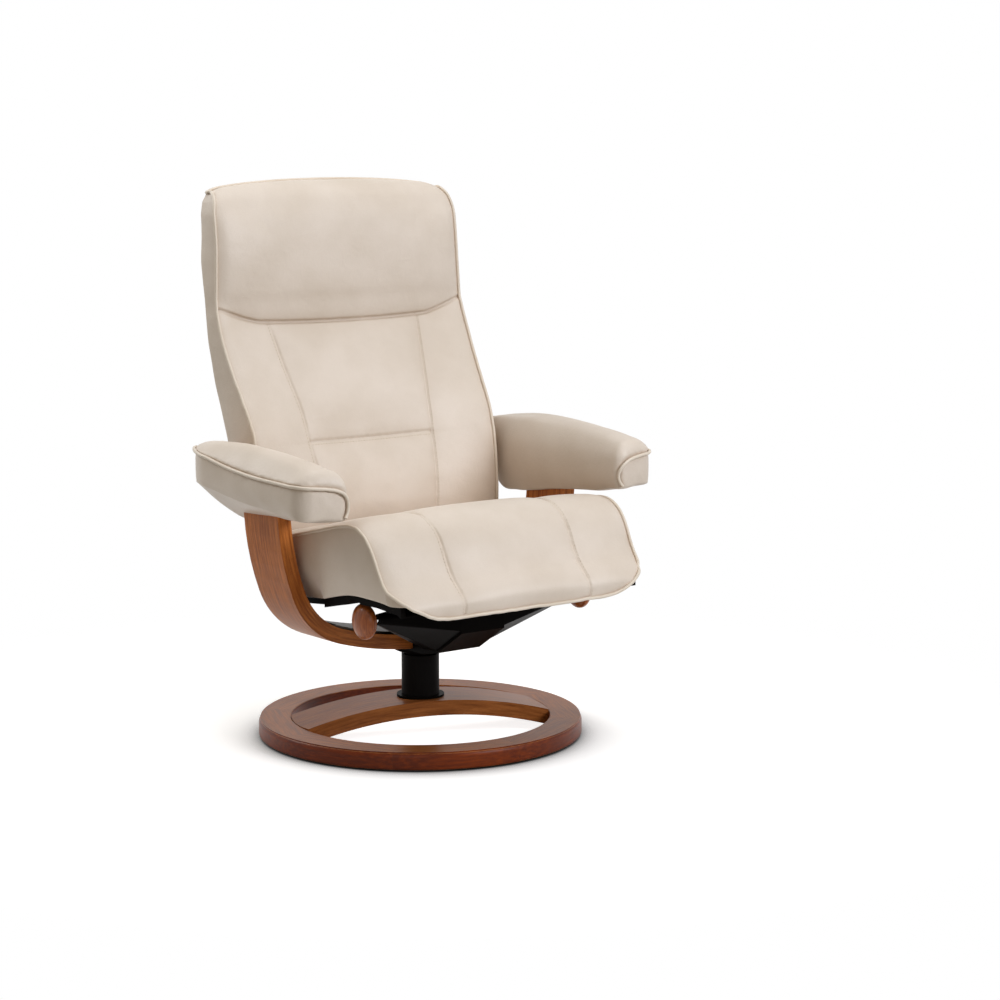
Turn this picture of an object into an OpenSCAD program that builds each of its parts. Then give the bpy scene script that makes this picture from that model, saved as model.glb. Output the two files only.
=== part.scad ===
// Swivel recliner on a round wooden floor ring, millimetres, chair facing -Y, +Z up.
// The origin is on the floor, on the swivel axis at the ring's centre.

/* [Floor ring] */
// Outer diameter of the floor ring
ring_d = 600; // [520:5:700]
// Width of the ring's wooden band, seen from above
ring_band = 60; // [48:1:75]
// Thickness of the ring
ring_t = 32; // [26:1:40]
// Rounding of the ring's upper outer edge
ring_round = 9; // [4:0.5:12]
// Rounding of the ring's other edges
ring_ease = 3; // [1.5:0.5:5]
// Thickness of the felt glides under the ring
glide_t = 3; // [2:0.5:6]
// Diameter of one felt glide
glide_d = 34; // [20:1:44]
// Number of felt glides
glide_count = 6; // [4:1:8]

/* [Crossbar] */
// Width of the arched crossbar
bar_w = 118; // [100:1:140]
// Thickness of the crossbar's bent lamination
bar_t = 28; // [22:1:34]
// Height of the crossbar's middle above the ring's top face
bar_rise = 36; // [20:1:60]
// Turn of the base under the chair, in degrees
bar_turn = -17.5; // [-90:0.5:90]
// Diameter of the dowels at the crossbar's ends
dowel_d = 10; // [8:1:14]
// Length of one dowel
dowel_l = 64; // [44:2:80]

/* [Swivel column] */
// Diameter of the steel foot plate on the crossbar
flange_d = 88; // [82:1:100]
// Thickness of the foot plate
flange_t = 5; // [4:0.5:8]
// Outer diameter of the black column sleeve
sleeve_d = 70; // [66:1:80]
// Wall of the column sleeve
sleeve_wall = 3; // [2:0.5:4]
// Height of the column sleeve
sleeve_h = 76; // [60:1:100]
// Outer diameter of the steel column tube
post_d = 50; // [46:1:54]
// Diameter of the swivel spindle
spindle_d = 26; // [20:1:30]
// Thickness of the bearing ring
bearing_t = 7; // [5:0.5:9]
// Diameter of the column and hoop bolts
bolt_d = 8; // [6:1:9]

/* [Wooden hoop] */
// Height of the leg ends above the floor
hoop_top = 454; // [450:1:457]
// Height of the hoop's underside at its middle
hoop_low = 169; // [165:1:175]
// Depth of the hoop's band from front to rear
hoop_w = 112; // [100:1:124]
// Thickness of the hoop's bent lamination
hoop_t = 27; // [22:1:30]
// Distance from the swivel axis back to the middle of the hoop's band
hoop_back = 16; // [10:1:22]
// Radius of the hoop's shallow bottom
hoop_bottom_r = 710; // [690:5:730]
// Radius of the hoop's two lower corners
hoop_corner_r = 154; // [150:1:158]
// Radius of the hoop's two sides
hoop_side_r = 485; // [480:1:492]
// Thickness of the steel plate in the hoop
plate_t = 4; // [3:0.5:5]
// Length of the steel plate across the hoop
plate_l = 424; // [380:2:430]

/* [Tilt mechanism] */
// Outer width of the steel housing between its side walls
housing_w = 96; // [84:1:104]
// Wall of the stamped steel housing
housing_wall = 4; // [3:0.5:5]
// Distance from the swivel axis forward to the recline pivot
pivot_fwd = 60; // [56:1:66]
// Height of the recline pivot
pivot_z = 262; // [256:1:266]
// Distance from the swivel axis forward to the tension rod
rod_fwd = 169; // [162:1:174]
// Height of the tension rod
rod_z = 265; // [260:1:270]
// Diameter of the tension rod and the pivot bolts
rod_d = 12; // [10:0.5:14]
// Distance from the middle to a knob's centre
knob_x = 240; // [232:1:250]
// Diameter of a wooden knob
knob_d = 64; // [54:1:70]
// Thickness of a wooden knob
knob_t = 31; // [26:1:36]
// Largest recline of the seat, in degrees
recline_max = 10; // [4:0.5:10]

/* [Seat] */
// Width of the seat cushion
seat_w = 560; // [530:2:566]
// Depth of the seat cushion
seat_d = 434; // [420:1:436]
// Height of the seat cushion from its lowest to its highest edge
seat_h = 178; // [160:1:184]
// Height of the cushion's lowest edge
seat_low = 268; // [264:1:272]
// Distance from the swivel axis back to the cushion's rear
seat_rear = 106; // [100:1:107]
// Depth of the sewn channels in the cushions
channel_depth = 4; // [2:0.5:8]
// Diameter of the seat frame's tube
tube_d = 20; // [16:1:22]

/* [Back and headrest] */
// How much wider than the seat the backrest is at its widest
back_more = 2; // [-4:0.5:4]
// Height of the backrest's lower edge
back_low = 281; // [281:1:284]
// Height of the joint between the backrest and the headrest
neck_z = 770; // [764:1:776]
// Height of the headrest at its sides
head_h = 232; // [215:1:250]
// Distance from the swivel axis back to the backrest's lower front
back_front = 109; // [109:1:113]
// Depth from the lower front to the furthest rear point of the headrest
back_depth = 208; // [200:1:216]
// Thickness of the rear cover panels
shell_t = 8; // [5:0.5:9]
// Width of the rear cover panels beyond the frame's tubes, on each side
shell_margin = 38; // [30:0.5:42]
// Distance from the swivel axis back to the back hinge
hinge_back = 140; // [136:1:144]
// Height of the back hinge
hinge_z = 266; // [262:1:267]
// Diameter of the back hinge pins
pin_d = 10; // [8:0.5:12]
// Distance back to the headrest hinge
neck_back = 266.5; // [265:0.25:268]

/* [Arms] */
// Gap between the seat's side and the arm's inner face
arm_side_gap = 12; // [9:0.5:16]
// Width of one arm pad
arm_w = 106; // [98:1:114]
// Length of one arm pad
arm_l = 424; // [400:2:440]
// Height of one arm pad from its lowest edge to its crest
arm_h = 152; // [140:1:160]
// Height of the arm pad's lowest edge
arm_low = 416; // [412:1:420]
// Distance from the swivel axis forward to the arm pad's tip
arm_fwd = 214; // [205:1:222]
// Thickness of the arm board
board_t = 12; // [10:1:15]

/* [Hidden] */
$fn = 96;

wood = "#8A5A3C";
black_steel = "#1D1B1A";
black_plastic = "#151414";
chrome = "#C9CCCE";
grey_steel = "#55585A";
leather = "#DDD3C6";
felt = "#3A3734";
ply = "#C9A36B";
webbing = "#2B2B2D";

// Thickness of all elastic straps
strap_t = 2;

// Clearances: a sliding pair, a seated pair, and the overrun of a cut
fit = 0.05;
seat_gap = 0.3;
cut = 1;

ring_r = ring_d / 2;
ring_in = ring_r - ring_band;
ring_top = glide_t + ring_t;
bar_top = ring_top + bar_rise;
bar_len = 2 * ring_in;
bar_r = (bar_len * bar_len / 4 + bar_rise * bar_rise) / (2 * bar_rise);
flat_cut = 1.6;
flange_z = bar_top - flat_cut;
back_w = seat_w + back_more;
arm_gap = seat_w + 2 * arm_side_gap;
head_top = neck_z + head_h;
post_z = flange_z + flange_t;
sleeve_top = post_z + sleeve_h;
bearing_z = sleeve_top - bearing_t;
hub_z = sleeve_top + seat_gap;
bolt_r = bolt_d / 2;
bolt_head_r = bolt_r * 1.7;
bolt_head_h = bolt_r * 1.3;
column_pcr = post_d * 0.43;
// Shoulder or rim that several turned and stamped pieces share
lip = 3;
sink_over = 3;
sink_d = bolt_head_h + sink_over;

floor_t = 5;
hoop_flat_cut = 2;
hub_flat = hoop_low + hoop_flat_cut;
hub_flange_t = 7;
hub_top = hub_flat - floor_t;
hub_r = housing_w / 2;
hub_pcr = 32;

// Sets what is drawn in X and Y to stand in the Y-Z plane, drawn along X from x0 for w
module side_plate(x0, w) {
    translate([x0, 0, 0])
        rotate([90, 0, 90])
            linear_extrude(w) children();
}

function reverse(p) = [for (i = [len(p) - 1 : -1 : 0]) p[i]];

module mirror_x() {
    children();
    mirror([1, 0, 0]) children();
}

// Cylinder along X
module rod_x(x0, l, r) {
    translate([x0, 0, 0])
        rotate([0, 90, 0]) cylinder(h = l, r = r);
}

// Closed curve through the given points, each span drawn in k steps
function span(a, b, c, d, t) =
    (2 * b + (c - a) * t + (2 * a - 5 * b + 4 * c - d) * t * t + (3 * b - a - 3 * c + d) * t * t * t) / 2;
function smooth_loop(p, k) =
    let (n = len(p))
    [for (i = [0 : n - 1], j = [0 : k - 1])
        span(p[(i + n - 1) % n], p[i], p[(i + 1) % n], p[(i + 2) % n], j / k)];

// Solid through rows of equal length, each row a closed loop of points in space
function mean(r) = [for (k = [0 : 2]) row_sum(r, k) / len(r)];
function row_sum(r, k, i = 0) = i == len(r) ? 0 : r[i][k] + row_sum(r, k, i + 1);
module loft(rows) {
    m = len(rows);
    n = len(rows[0]);
    points = [each [for (r = rows) each r], mean(rows[0]), mean(rows[m - 1])];
    sides = [for (i = [0 : m - 2], j = [0 : n - 1])
        let (a = i * n + j, b = i * n + (j + 1) % n)
        each [[a, b, b + n], [a, b + n, a + n]]];
    first = [for (j = [0 : n - 1]) [m * n, (j + 1) % n, j]];
    last = [for (j = [0 : n - 1]) [m * n + 1, (m - 1) * n + j, (m - 1) * n + (j + 1) % n]];
    polyhedron(points = points, faces = [each sides, each first, each last], convexity = 8);
}

// Floor ring: finger-jointed beech, turned with a rounded upper outer edge
module base_ring() {
    color(wood)
    difference() {
        rotate_extrude($fn = 180)
            translate([ring_in, glide_t]) {
                translate([ring_ease, 0]) square([ring_band - 2 * ring_ease, ring_t]);
                translate([0, ring_ease]) square([ring_band, ring_t - ring_ease - ring_round]);
                translate([0, ring_ease]) square([ring_band - ring_round, ring_t - 2 * ring_ease]);
                for (x = [ring_ease, ring_band - ring_ease])
                    translate([x, ring_ease]) circle(r = ring_ease, $fn = 32);
                translate([ring_ease, ring_t - ring_ease]) circle(r = ring_ease, $fn = 32);
                translate([ring_band - ring_round, ring_t - ring_round]) circle(r = ring_round, $fn = 48);
                translate([ring_band / 2, ring_t / 2])
                    square([ring_band - 2 * ring_round, ring_t], center = true);
            }
        dowel_places() rod_x(-dowel_l / 2, dowel_l, dowel_d / 2 + fit);
    }
}

// The four dowel places, at the crossbar's ends
dowel_z = glide_t + ring_t / 2;
dowel_y = bar_w / 4;
dowel_x = sqrt(ring_in * ring_in - dowel_y * dowel_y);
module dowel_places() {
    rotate([0, 0, bar_turn])
        for (sx = [-1, 1], sy = [-1, 1])
            translate([sx * dowel_x, sy * dowel_y, dowel_z]) children();
}

module crossbar_dowels() {
    color(ply)
    dowel_places() rod_x(-dowel_l / 2 + seat_gap, dowel_l - 2 * seat_gap, dowel_d / 2);
}

// Arched crossbar: bent lamination whose ends butt on the ring's inner wall
module base_crossbar() {
    color(wood)
    difference() {
        intersection() {
            rotate([0, 0, bar_turn])
                translate([0, bar_w / 2, bar_top - bar_r])
                    rotate([90, 0, 0])
                        linear_extrude(bar_w)
                            difference() {
                                circle(r = bar_r, $fn = 720);
                                circle(r = bar_r - bar_t, $fn = 720);
                            }
            translate([0, 0, glide_t + ring_ease])
                cylinder(h = bar_top, r = ring_in - fit, $fn = 180);
        }
        dowel_places() rod_x(-dowel_l / 2, dowel_l, dowel_d / 2 + fit);
        translate([0, 0, flange_z]) cylinder(h = bar_t, r = flange_d / 2 + seat_gap);
        column_bolt_places() {
            translate([0, 0, -bar_t]) cylinder(h = 2 * bar_t, r = bolt_r + fit, $fn = 32);
            translate([0, 0, -bar_t]) cylinder(h = bar_t + sink_d, r = bolt_head_r + seat_gap, $fn = 32);
        }
    }
}

// The four bolts of the column, their height given from the crossbar's underside
module column_bolt_places() {
    for (i = [0 : 3])
        rotate([0, 0, bar_turn + 45 + 90 * i])
            translate([column_pcr, 0, bar_top - bar_t]) children();
}

module column_bolts() {
    color(grey_steel)
    column_bolt_places() {
        translate([0, 0, sink_d - bolt_head_h]) cylinder(h = bolt_head_h, r = bolt_head_r, $fn = 32);
        cylinder(h = post_z - bar_top + bar_t - seat_gap, r = bolt_r, $fn = 32);
    }
}

module floor_glides() {
    color(felt)
    for (i = [0 : glide_count - 1])
        rotate([0, 0, bar_turn + 360 * (i + 1 / 2) / glide_count])
            translate([ring_r - ring_band / 2, 0, 0])
                cylinder(h = glide_t, r = glide_d / 2, $fn = 48);
}

module column_flange() {
    color(black_steel)
    difference() {
        translate([0, 0, flange_z]) cylinder(h = flange_t, r = flange_d / 2);
        column_bolt_places() cylinder(h = 2 * bar_t, r = bolt_r + fit, $fn = 32);
    }
}

// Steel column tube, welded on the foot plate, with the spindle's bore
module column_post() {
    color(grey_steel)
    translate([0, 0, post_z])
        difference() {
            cylinder(h = sleeve_h - bearing_t, r = post_d / 2);
            translate([0, 0, -cut])
                cylinder(h = sleeve_h + 2 * cut, r = spindle_d / 2 + fit);
        }
}

module column_sleeve() {
    color(black_plastic)
    translate([0, 0, post_z])
        difference() {
            cylinder(h = sleeve_h, r = sleeve_d / 2);
            translate([0, 0, -cut]) cylinder(h = sleeve_h + 2 * cut, r = sleeve_d / 2 - sleeve_wall);
        }
}

// Bright bearing ring on the column tube, inside the sleeve's mouth
module swivel_bearing() {
    color(chrome)
    translate([0, 0, bearing_z])
        difference() {
            cylinder(h = bearing_t, r = sleeve_d / 2 - sleeve_wall - seat_gap);
            translate([0, 0, -cut]) cylinder(h = bearing_t + 2 * cut, r = spindle_d / 2 + fit);
            translate([0, 0, bearing_t / 2])
                rotate_extrude() translate([post_d / 2, 0]) square([cut, bearing_t]);
        }
}

// Turned hub under the hoop with the swivel spindle
hub_cone_low_r = post_d / 2 + lip;
spindle_l = sleeve_h * 0.84;
module swivel_hub() {
    color(black_steel)
    difference() {
        rotate_extrude()
            polygon([
                [0, hub_z - spindle_l],
                [spindle_d / 2, hub_z - spindle_l],
                [spindle_d / 2, hub_z],
                [hub_cone_low_r, hub_z],
                [hub_r, hub_top - hub_flange_t],
                [hub_r, hub_top],
                [0, hub_top]
            ]);
        hub_bolt_places() translate([0, 0, -cut]) cylinder(h = 3 * hub_flange_t, r = bolt_r + fit, $fn = 32);
    }
}

module hub_bolt_places() {
    for (i = [0 : 3])
        rotate([0, 0, 45 + 90 * i])
            translate([hub_pcr, 0, hub_top - hub_flange_t]) children();
}

// Outline of the hoop in X and Z, in three arcs: shallow bottom, corner and side.
// Each arc meets the next one at the same slope, and the legs end in a level cut.
// The outline is spread sideways to stand clear of the seat. Angles are in degrees.
corner_angle = 16.7;
side_angle = 69.6;
side_end_angle = 90;
function on_arc(m, r, a) = m + r * [sin(a), -cos(a)];
bottom_mid = [0, hoop_low + hoop_bottom_r];
corner_mid = on_arc(bottom_mid, hoop_bottom_r - hoop_corner_r, corner_angle);
side_mid = on_arc(corner_mid, hoop_corner_r - hoop_side_r, side_angle);
leg_angle = acos((side_mid[1] - hoop_top) / hoop_side_r);
hoop_side_gap = 27.3;
hoop_half = seat_w / 2 + hoop_side_gap + hoop_t;
hoop_spread = hoop_half / on_arc(side_mid, hoop_side_r, leg_angle)[0];
function spread(p) = [p[0] * hoop_spread, p[1]];
function half_line(t) = [
    for (i = [0 : 10]) spread(on_arc(bottom_mid, hoop_bottom_r - t, corner_angle * i / 10)),
    for (i = [1 : 12])
        spread(on_arc(corner_mid, hoop_corner_r - t, corner_angle + (side_angle - corner_angle) * i / 12)),
    for (i = [1 : 6])
        spread(on_arc(side_mid, hoop_side_r - t, side_angle + (side_end_angle - side_angle) * i / 6))
];
function flip(p) = [for (i = [len(p) - 1 : -1 : 0]) [-p[i][0], p[i][1]]];
function no_first(p) = [for (i = [1 : len(p) - 1]) p[i]];
function full_line(t) = concat(flip(no_first(half_line(t))), half_line(t));

module hoop_outline(t_out, t_in) {
    intersection() {
        polygon(concat(full_line(t_out), reverse(full_line(t_in))));
        translate([-hoop_top, 0]) square([2 * hoop_top, hoop_top]);
    }
}

module hoop_frame() {
    color(wood)
    difference() {
        translate([0, hoop_back + hoop_w / 2, 0])
            rotate([90, 0, 0]) linear_extrude(hoop_w) hoop_outline(0, hoop_t);
        translate([-hub_r - seat_gap, -hoop_w, hub_flat - hoop_t])
            cube([2 * (hub_r + seat_gap), 3 * hoop_w, hoop_t]);
        hub_bolt_places() cylinder(h = 4 * hoop_t, r = bolt_r + fit, $fn = 32);
        arm_bolt_places() translate([0, 0, -arm_bolt_l]) cylinder(h = 2 * arm_bolt_l, r = bolt_r + fit, $fn = 32);
    }
}

// Steel plate that follows the hoop's bottom and spreads the load of the bolts
plate_margin = 10;
plate_w = hoop_w - 2 * plate_margin;
module hoop_plate() {
    color(grey_steel)
    difference() {
        translate([0, hoop_back + plate_w / 2, 0])
            rotate([90, 0, 0])
                linear_extrude(plate_w)
                    intersection() {
                        hoop_outline(hoop_t + seat_gap, hoop_t + seat_gap + plate_t);
                        translate([-plate_l / 2, 0]) square([plate_l, hoop_top]);
                    }
        hub_bolt_places() cylinder(h = 4 * hoop_t, r = bolt_r + fit, $fn = 32);
    }
}

hoop_bolt_top = hoop_low + hoop_t + plate_t + lip;
module hoop_bolts() {
    color(chrome)
    hub_bolt_places() {
        cylinder(h = hoop_bolt_top - hub_top + hub_flange_t, r = bolt_r, $fn = 32);
        translate([0, 0, hoop_bolt_top - hub_top + hub_flange_t])
            cylinder(h = bolt_head_h, r = bolt_head_r, $fn = 32);
    }
}

// Stamped steel housing: floor under the hoop, tray in front of it and a wing to each knob
hw = housing_w / 2;
hoop_clear = 4;
eye_wall = 9;
eye_r = rod_d / 2 + eye_wall;
tray_lead = 25;
tray_nose_drop = 37;
tray_step_rise = 9;
tray_rear = hoop_w / 2 - hoop_back + hoop_clear;
tray_front = rod_fwd + tray_lead;
tray_bend = tray_rear + (tray_front - tray_rear) * 0.2;
tray_step = tray_rear + (tray_front - tray_rear) * 0.5;
tray_nose_z = rod_z - tray_nose_drop;
tray_step_z = hub_flat + tray_step_rise;
module tray_strip() {
    polygon([
        [hub_r, hub_top], [-tray_bend, hub_top], [-tray_step, tray_step_z - floor_t],
        [-tray_front, tray_nose_z - floor_t], [-tray_front, rod_z],
        [-tray_front + housing_wall, rod_z], [-tray_front + housing_wall, tray_nose_z],
        [-tray_step, tray_step_z], [-tray_bend, hub_flat], [hub_r, hub_flat]
    ]);
}
module tray_wall() {
    polygon([
        [-tray_rear, hub_top], [-tray_bend, hub_top], [-tray_step, tray_step_z - floor_t],
        [-tray_front, tray_nose_z - floor_t], [-tray_front, rod_z],
        [-pivot_fwd - eye_r, rod_z], [-tray_rear, pivot_z - eye_r]
    ]);
    translate([-pivot_fwd, pivot_z]) circle(r = eye_r);
}

// One wing: a shell between the tray's side and the boss that carries the rod near the knob.
// The part cut out leaves a front web and a sloping floor, and is open above and behind.
wing_gap = 12.5;
wing_end = knob_x - knob_t / 2 - wing_gap;
wing_boss_r = rod_d / 2 + housing_wall;
wing_rear = pivot_fwd + eye_r + housing_wall;
module wing_outside() {
    hull() {
        side_plate(hw, fit)
            polygon([
                [-tray_front, tray_nose_z], [-tray_step, tray_step_z],
                [-wing_rear, tray_step_z - housing_wall],
                [-wing_rear, rod_z], [-tray_front, rod_z]
            ]);
        translate([wing_end, -rod_fwd, rod_z]) rod_x(-fit, fit, wing_boss_r, $fn = 32);
    }
}
module wing_inside() {
    hull() {
        side_plate(hw - housing_wall, fit)
            polygon([
                [-tray_front + housing_wall, tray_nose_z + housing_wall],
                [-tray_step, tray_step_z + housing_wall], [hub_r, tray_step_z],
                [hub_r, rod_z + wing_boss_r], [-tray_front + housing_wall, rod_z + wing_boss_r]
            ]);
        translate([wing_end - housing_wall, -rod_fwd, rod_z])
            rod_x(-fit, fit, rod_d / 2, $fn = 32);
        translate([wing_end - housing_wall, 0, rod_z + wing_boss_r])
            rod_x(-fit, fit, rod_d / 2, $fn = 32);
    }
}
wing_boss_l = 4 * housing_wall;
module tilt_housing() {
    color(black_steel)
    difference() {
        union() {
            side_plate(-hw, housing_w) tray_strip();
            mirror_x() side_plate(hw - housing_wall, housing_wall) tray_wall();
            mirror_x()
                difference() {
                    wing_outside();
                    wing_inside();
                }
            mirror_x() translate([wing_end - wing_boss_l, -rod_fwd, rod_z]) rod_x(0, wing_boss_l, wing_boss_r);
        }
        translate([0, -rod_fwd, rod_z]) rod_x(-knob_x, 2 * knob_x, rod_d / 2 + fit);
        translate([0, -pivot_fwd, pivot_z]) rod_x(-knob_x, 2 * knob_x, rod_d / 2 + fit);
        hub_bolt_places() cylinder(h = 4 * hoop_t, r = bolt_r + fit, $fn = 32);
    }
}

// Seat bracket plates outside the housing's walls, and what clamps them
bracket_t = 5;
washer_t = 4;
bracket_x = hw + washer_t + seat_gap;
module recline_pivots() {
    color(chrome)
    mirror_x()
        translate([0, -pivot_fwd, pivot_z]) {
            rod_x(hw - housing_wall - lip, bracket_x + bracket_t - hw + housing_wall + 2 * lip, rod_d / 2);
            rod_x(bracket_x + bracket_t + seat_gap, bolt_head_h, rod_d / 2 + lip);
            rod_x(hw + fit, washer_t, rod_d / 2 + lip);
        }
}

insert_l = 20;
insert_floor = 3;
rod_reach = knob_x - knob_t / 2 + insert_l - insert_floor - cut;
module tension_rod() {
    color(black_steel)
    translate([0, -rod_fwd, rod_z]) rod_x(-rod_reach, 2 * rod_reach, rod_d / 2);
}

module friction_washers() {
    color(chrome)
    mirror_x()
        translate([hw + fit, -rod_fwd, rod_z])
            difference() {
                rod_x(0, washer_t, rod_d / 2 + 2 * lip);
                rod_x(-cut, washer_t + 2 * cut, rod_d / 2 + fit);
            }
}

// Wooden knob: a turned lens on a brass insert that screws along the rod
function lens(r, t) = [for (a = [0 : 6 : 180]) [r * sin(a), t / 2 * cos(a)]];
insert_r = rod_d / 2 + lip;
module tension_knob_right() {
    color(wood)
    translate([-knob_x, -rod_fwd, rod_z])
        rotate([0, 90, 0])
            difference() {
                rotate_extrude() polygon(lens(knob_d / 2, knob_t));
                translate([0, 0, knob_t / 2 - insert_l]) cylinder(h = knob_t, r = insert_r + fit);
            }
}
module tension_knob_left() {
    mirror([1, 0, 0]) tension_knob_right();
}
module knob_insert_right() {
    color("#B08D57")
    translate([-knob_x, -rod_fwd, rod_z])
        rotate([0, 90, 0])
            difference() {
                translate([0, 0, knob_t / 2 - insert_l + fit]) cylinder(h = insert_l, r = insert_r);
                translate([0, 0, knob_t / 2 - insert_l + insert_floor])
                    cylinder(h = knob_t, r = rod_d / 2 + fit);
            }
}
module knob_insert_left() {
    mirror([1, 0, 0]) knob_insert_right();
}

// Seat outline in Y and Z, as shares of the cushion's depth from its nose and of its height.
// The third number says how far the crown and the channels act there.
seat_nose = seat_d - seat_rear;
seat_side_shares = [
    [0.004, 0.236, 0.3], [0.036, 0.318, 1], [0.088, 0.433, 1], [0.126, 0.573, 1], [0.152, 0.702, 1],
    [0.181, 0.815, 1], [0.223, 0.915, 1], [0.290, 0.984, 1], [0.350, 0.984, 1], [0.493, 0.910, 1],
    [0.642, 0.826, 1], [0.770, 0.753, 1], [0.900, 0.691, 0.8], [0.975, 0.640, 0.4], [1, 0.540, 0],
    [1, 0.300, 0], [0.998, 0.110, 0], [0.975, 0.020, 0], [0.902, 0.045, 0], [0.770, 0.080, 0],
    [0.633, 0.118, 0], [0.498, 0.197, 0], [0.353, 0.270, 0], [0.212, 0.281, 0], [0.072, 0.262, 0],
    [0.018, 0.225, 0]
];
function seat_yz(s) = [-seat_nose + seat_d * s[0], seat_low + seat_h * s[1]];

// A cushion sewn from a side outline: rows across its width, in shares of the half width,
// each with the share of the edge rounding that it takes
edge_row_shares = [
    [-1, 1.6], [-0.985, 0.7], [-0.95, 0.25], [-0.88, 0], [-0.72, 0], [-0.58, 0], [-0.50, 0], [-0.42, 0],
    [-0.25, 0], [-0.08, 0], [0.08, 0], [0.25, 0], [0.42, 0], [0.50, 0], [0.58, 0], [0.72, 0],
    [0.88, 0], [0.95, 0.25], [0.985, 0.7], [1, 1.6]
];
edge_round = 5;
channel_at_share = 0.5;
channel_half_share = 0.05;
function groove(u) = abs(abs(u) - channel_at_share) < channel_half_share ? 1 : 0;
function normal_of(p, i) =
    let (n = len(p), a = p[(i + n - 1) % n], b = p[(i + 1) % n], d = [b[0] - a[0], b[1] - a[1]])
    [-d[1], d[0]] / norm(d);

// How far the seat's lower sides draw in beside the hoop, and the back's width at a height
tuck = 30;
tuck_lead = 34;
tuck_run = 26;
tuck_h = 70;
side_lean = 5;
tuck_front = hoop_back - hoop_w / 2 - tuck_lead;
tuck_low = seat_low + tuck_h;
function ramp(a, b, v) = let (t = max(0, min(1, (v - a) / (b - a)))) t * t * (3 - 2 * t);
function seat_half(y, z) =
    seat_w / 2 - side_lean * (1 - ramp(seat_low, seat_low + seat_h, z))
    - tuck * ramp(tuck_front, tuck_front + tuck_run, y) * (1 - ramp(seat_low, tuck_low, z));

seat_crown = 7;
function seat_row(e) =
    let (p = [for (s = seat_side_shares) seat_yz(s)])
    [for (i = [0 : len(p) - 1])
        let (
            s = seat_side_shares[i][2],
            d = s * (seat_crown * (1 - e[0] * e[0]) - channel_depth * groove(e[0])) - edge_round * e[1],
            q = p[i] + normal_of(p, i) * d
        )
        [e[0] * seat_half(q[0], q[1]), q[0], q[1]]];

// Side line of the seat's underside, from the nose to the rear
seat_under_shares = [
    [0.045, 0.236], [0.072, 0.262], [0.212, 0.281], [0.353, 0.270], [0.498, 0.197],
    [0.633, 0.118], [0.770, 0.080], [0.902, 0.045], [0.975, 0.020]
];
function shifted(p, d) = [for (q = p) [q[0], q[1] + d]];
under_line = [for (s = seat_under_shares) seat_yz(s)];
well_h = 30;
well_lead = 40;
well_wall = 22;
well_x = seat_w * 0.4;
well_front = rod_fwd + well_lead;
well_rear = seat_rear - well_wall;
module seat_well() {
    intersection() {
        side_plate(-well_x, 2 * well_x)
            polygon(concat(shifted(under_line, well_h), reverse(shifted(under_line, -well_h))));
        translate([-well_x, -well_front, 0]) cube([2 * well_x, well_front + well_rear, hoop_top]);
    }
}

module seat_cushion() {
    color(leather)
    difference() {
        loft([for (e = edge_row_shares) seat_row(e)]);
        seat_well();
    }
}

// Black steel pan under the cushion, narrower beside the hoop, with the ears of the back hinge
pan_t = 16;
pan_skin = 3;
pan_inset = 20;
pan_rear_inset = 66;
pan_half = seat_w / 2 - pan_inset;
pan_rear_half = seat_w / 2 - pan_rear_inset;
ear_t = 5;
ear_inset = 26;
ear_x = pan_rear_half - ear_inset;
hinge_eye_w = 8;
ear_r = pin_d / 2 + 2 * lip;
ear_root = 26;
ear_root_z = seat_yz([0.94, 0.033])[1] - seat_gap;
pan_slot_over = 10;
module pan_plan() {
    polygon([
        [-pan_half, -seat_nose], [pan_half, -seat_nose], [pan_half, tuck_front],
        [pan_rear_half, tuck_front + tuck_run], [pan_rear_half, seat_rear], [-pan_rear_half, seat_rear],
        [-pan_rear_half, tuck_front + tuck_run], [-pan_half, tuck_front]
    ]);
}
module pan_body(drop, depth, inset) {
    intersection() {
        side_plate(-pan_half, 2 * pan_half)
            polygon(concat(
                shifted(under_line, -seat_gap - drop),
                reverse(shifted(under_line, -seat_gap - drop - depth))
            ));
        linear_extrude(hoop_top) offset(delta = -inset) pan_plan();
    }
}
// Room for the fingers between each knob and the pan
finger_room = 8;
module over_knob(room) {
    mirror_x()
        translate([0, -rod_fwd, rod_z])
            rod_x(knob_x - knob_t / 2 - room, pan_half, knob_d / 2 + room);
}
module seat_pan() {
    color(black_steel)
    difference() {
        union() {
            difference() {
                pan_body(0, pan_t, 0);
                difference() {
                    translate([0, 0, pan_skin]) pan_body(-pan_t, 2 * pan_t, 3 * pan_skin);
                    over_knob(finger_room + pan_skin);
                }
            }
            mirror_x()
                side_plate(ear_x, ear_t) {
                    translate([hinge_back, hinge_z]) circle(r = ear_r);
                    polygon([
                        [seat_rear - ear_root, ear_root_z - pan_t], [hinge_back, hinge_z - ear_r],
                        [hinge_back, hinge_z + ear_r], [seat_rear - ear_root, ear_root_z - pan_t / 2]
                    ]);
                }
        }
        over_knob(finger_room);
        translate([0, hinge_back, hinge_z]) rod_x(-pan_half, 2 * pan_half, pin_d / 2 + fit);
        mirror_x()
            translate([hw - housing_wall - lip, -bracket_front - pan_slot_over, 0])
                cube([pan_slot_w, bracket_front + bracket_rear + 2 * pan_slot_over, hoop_top]);
    }
}

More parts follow.
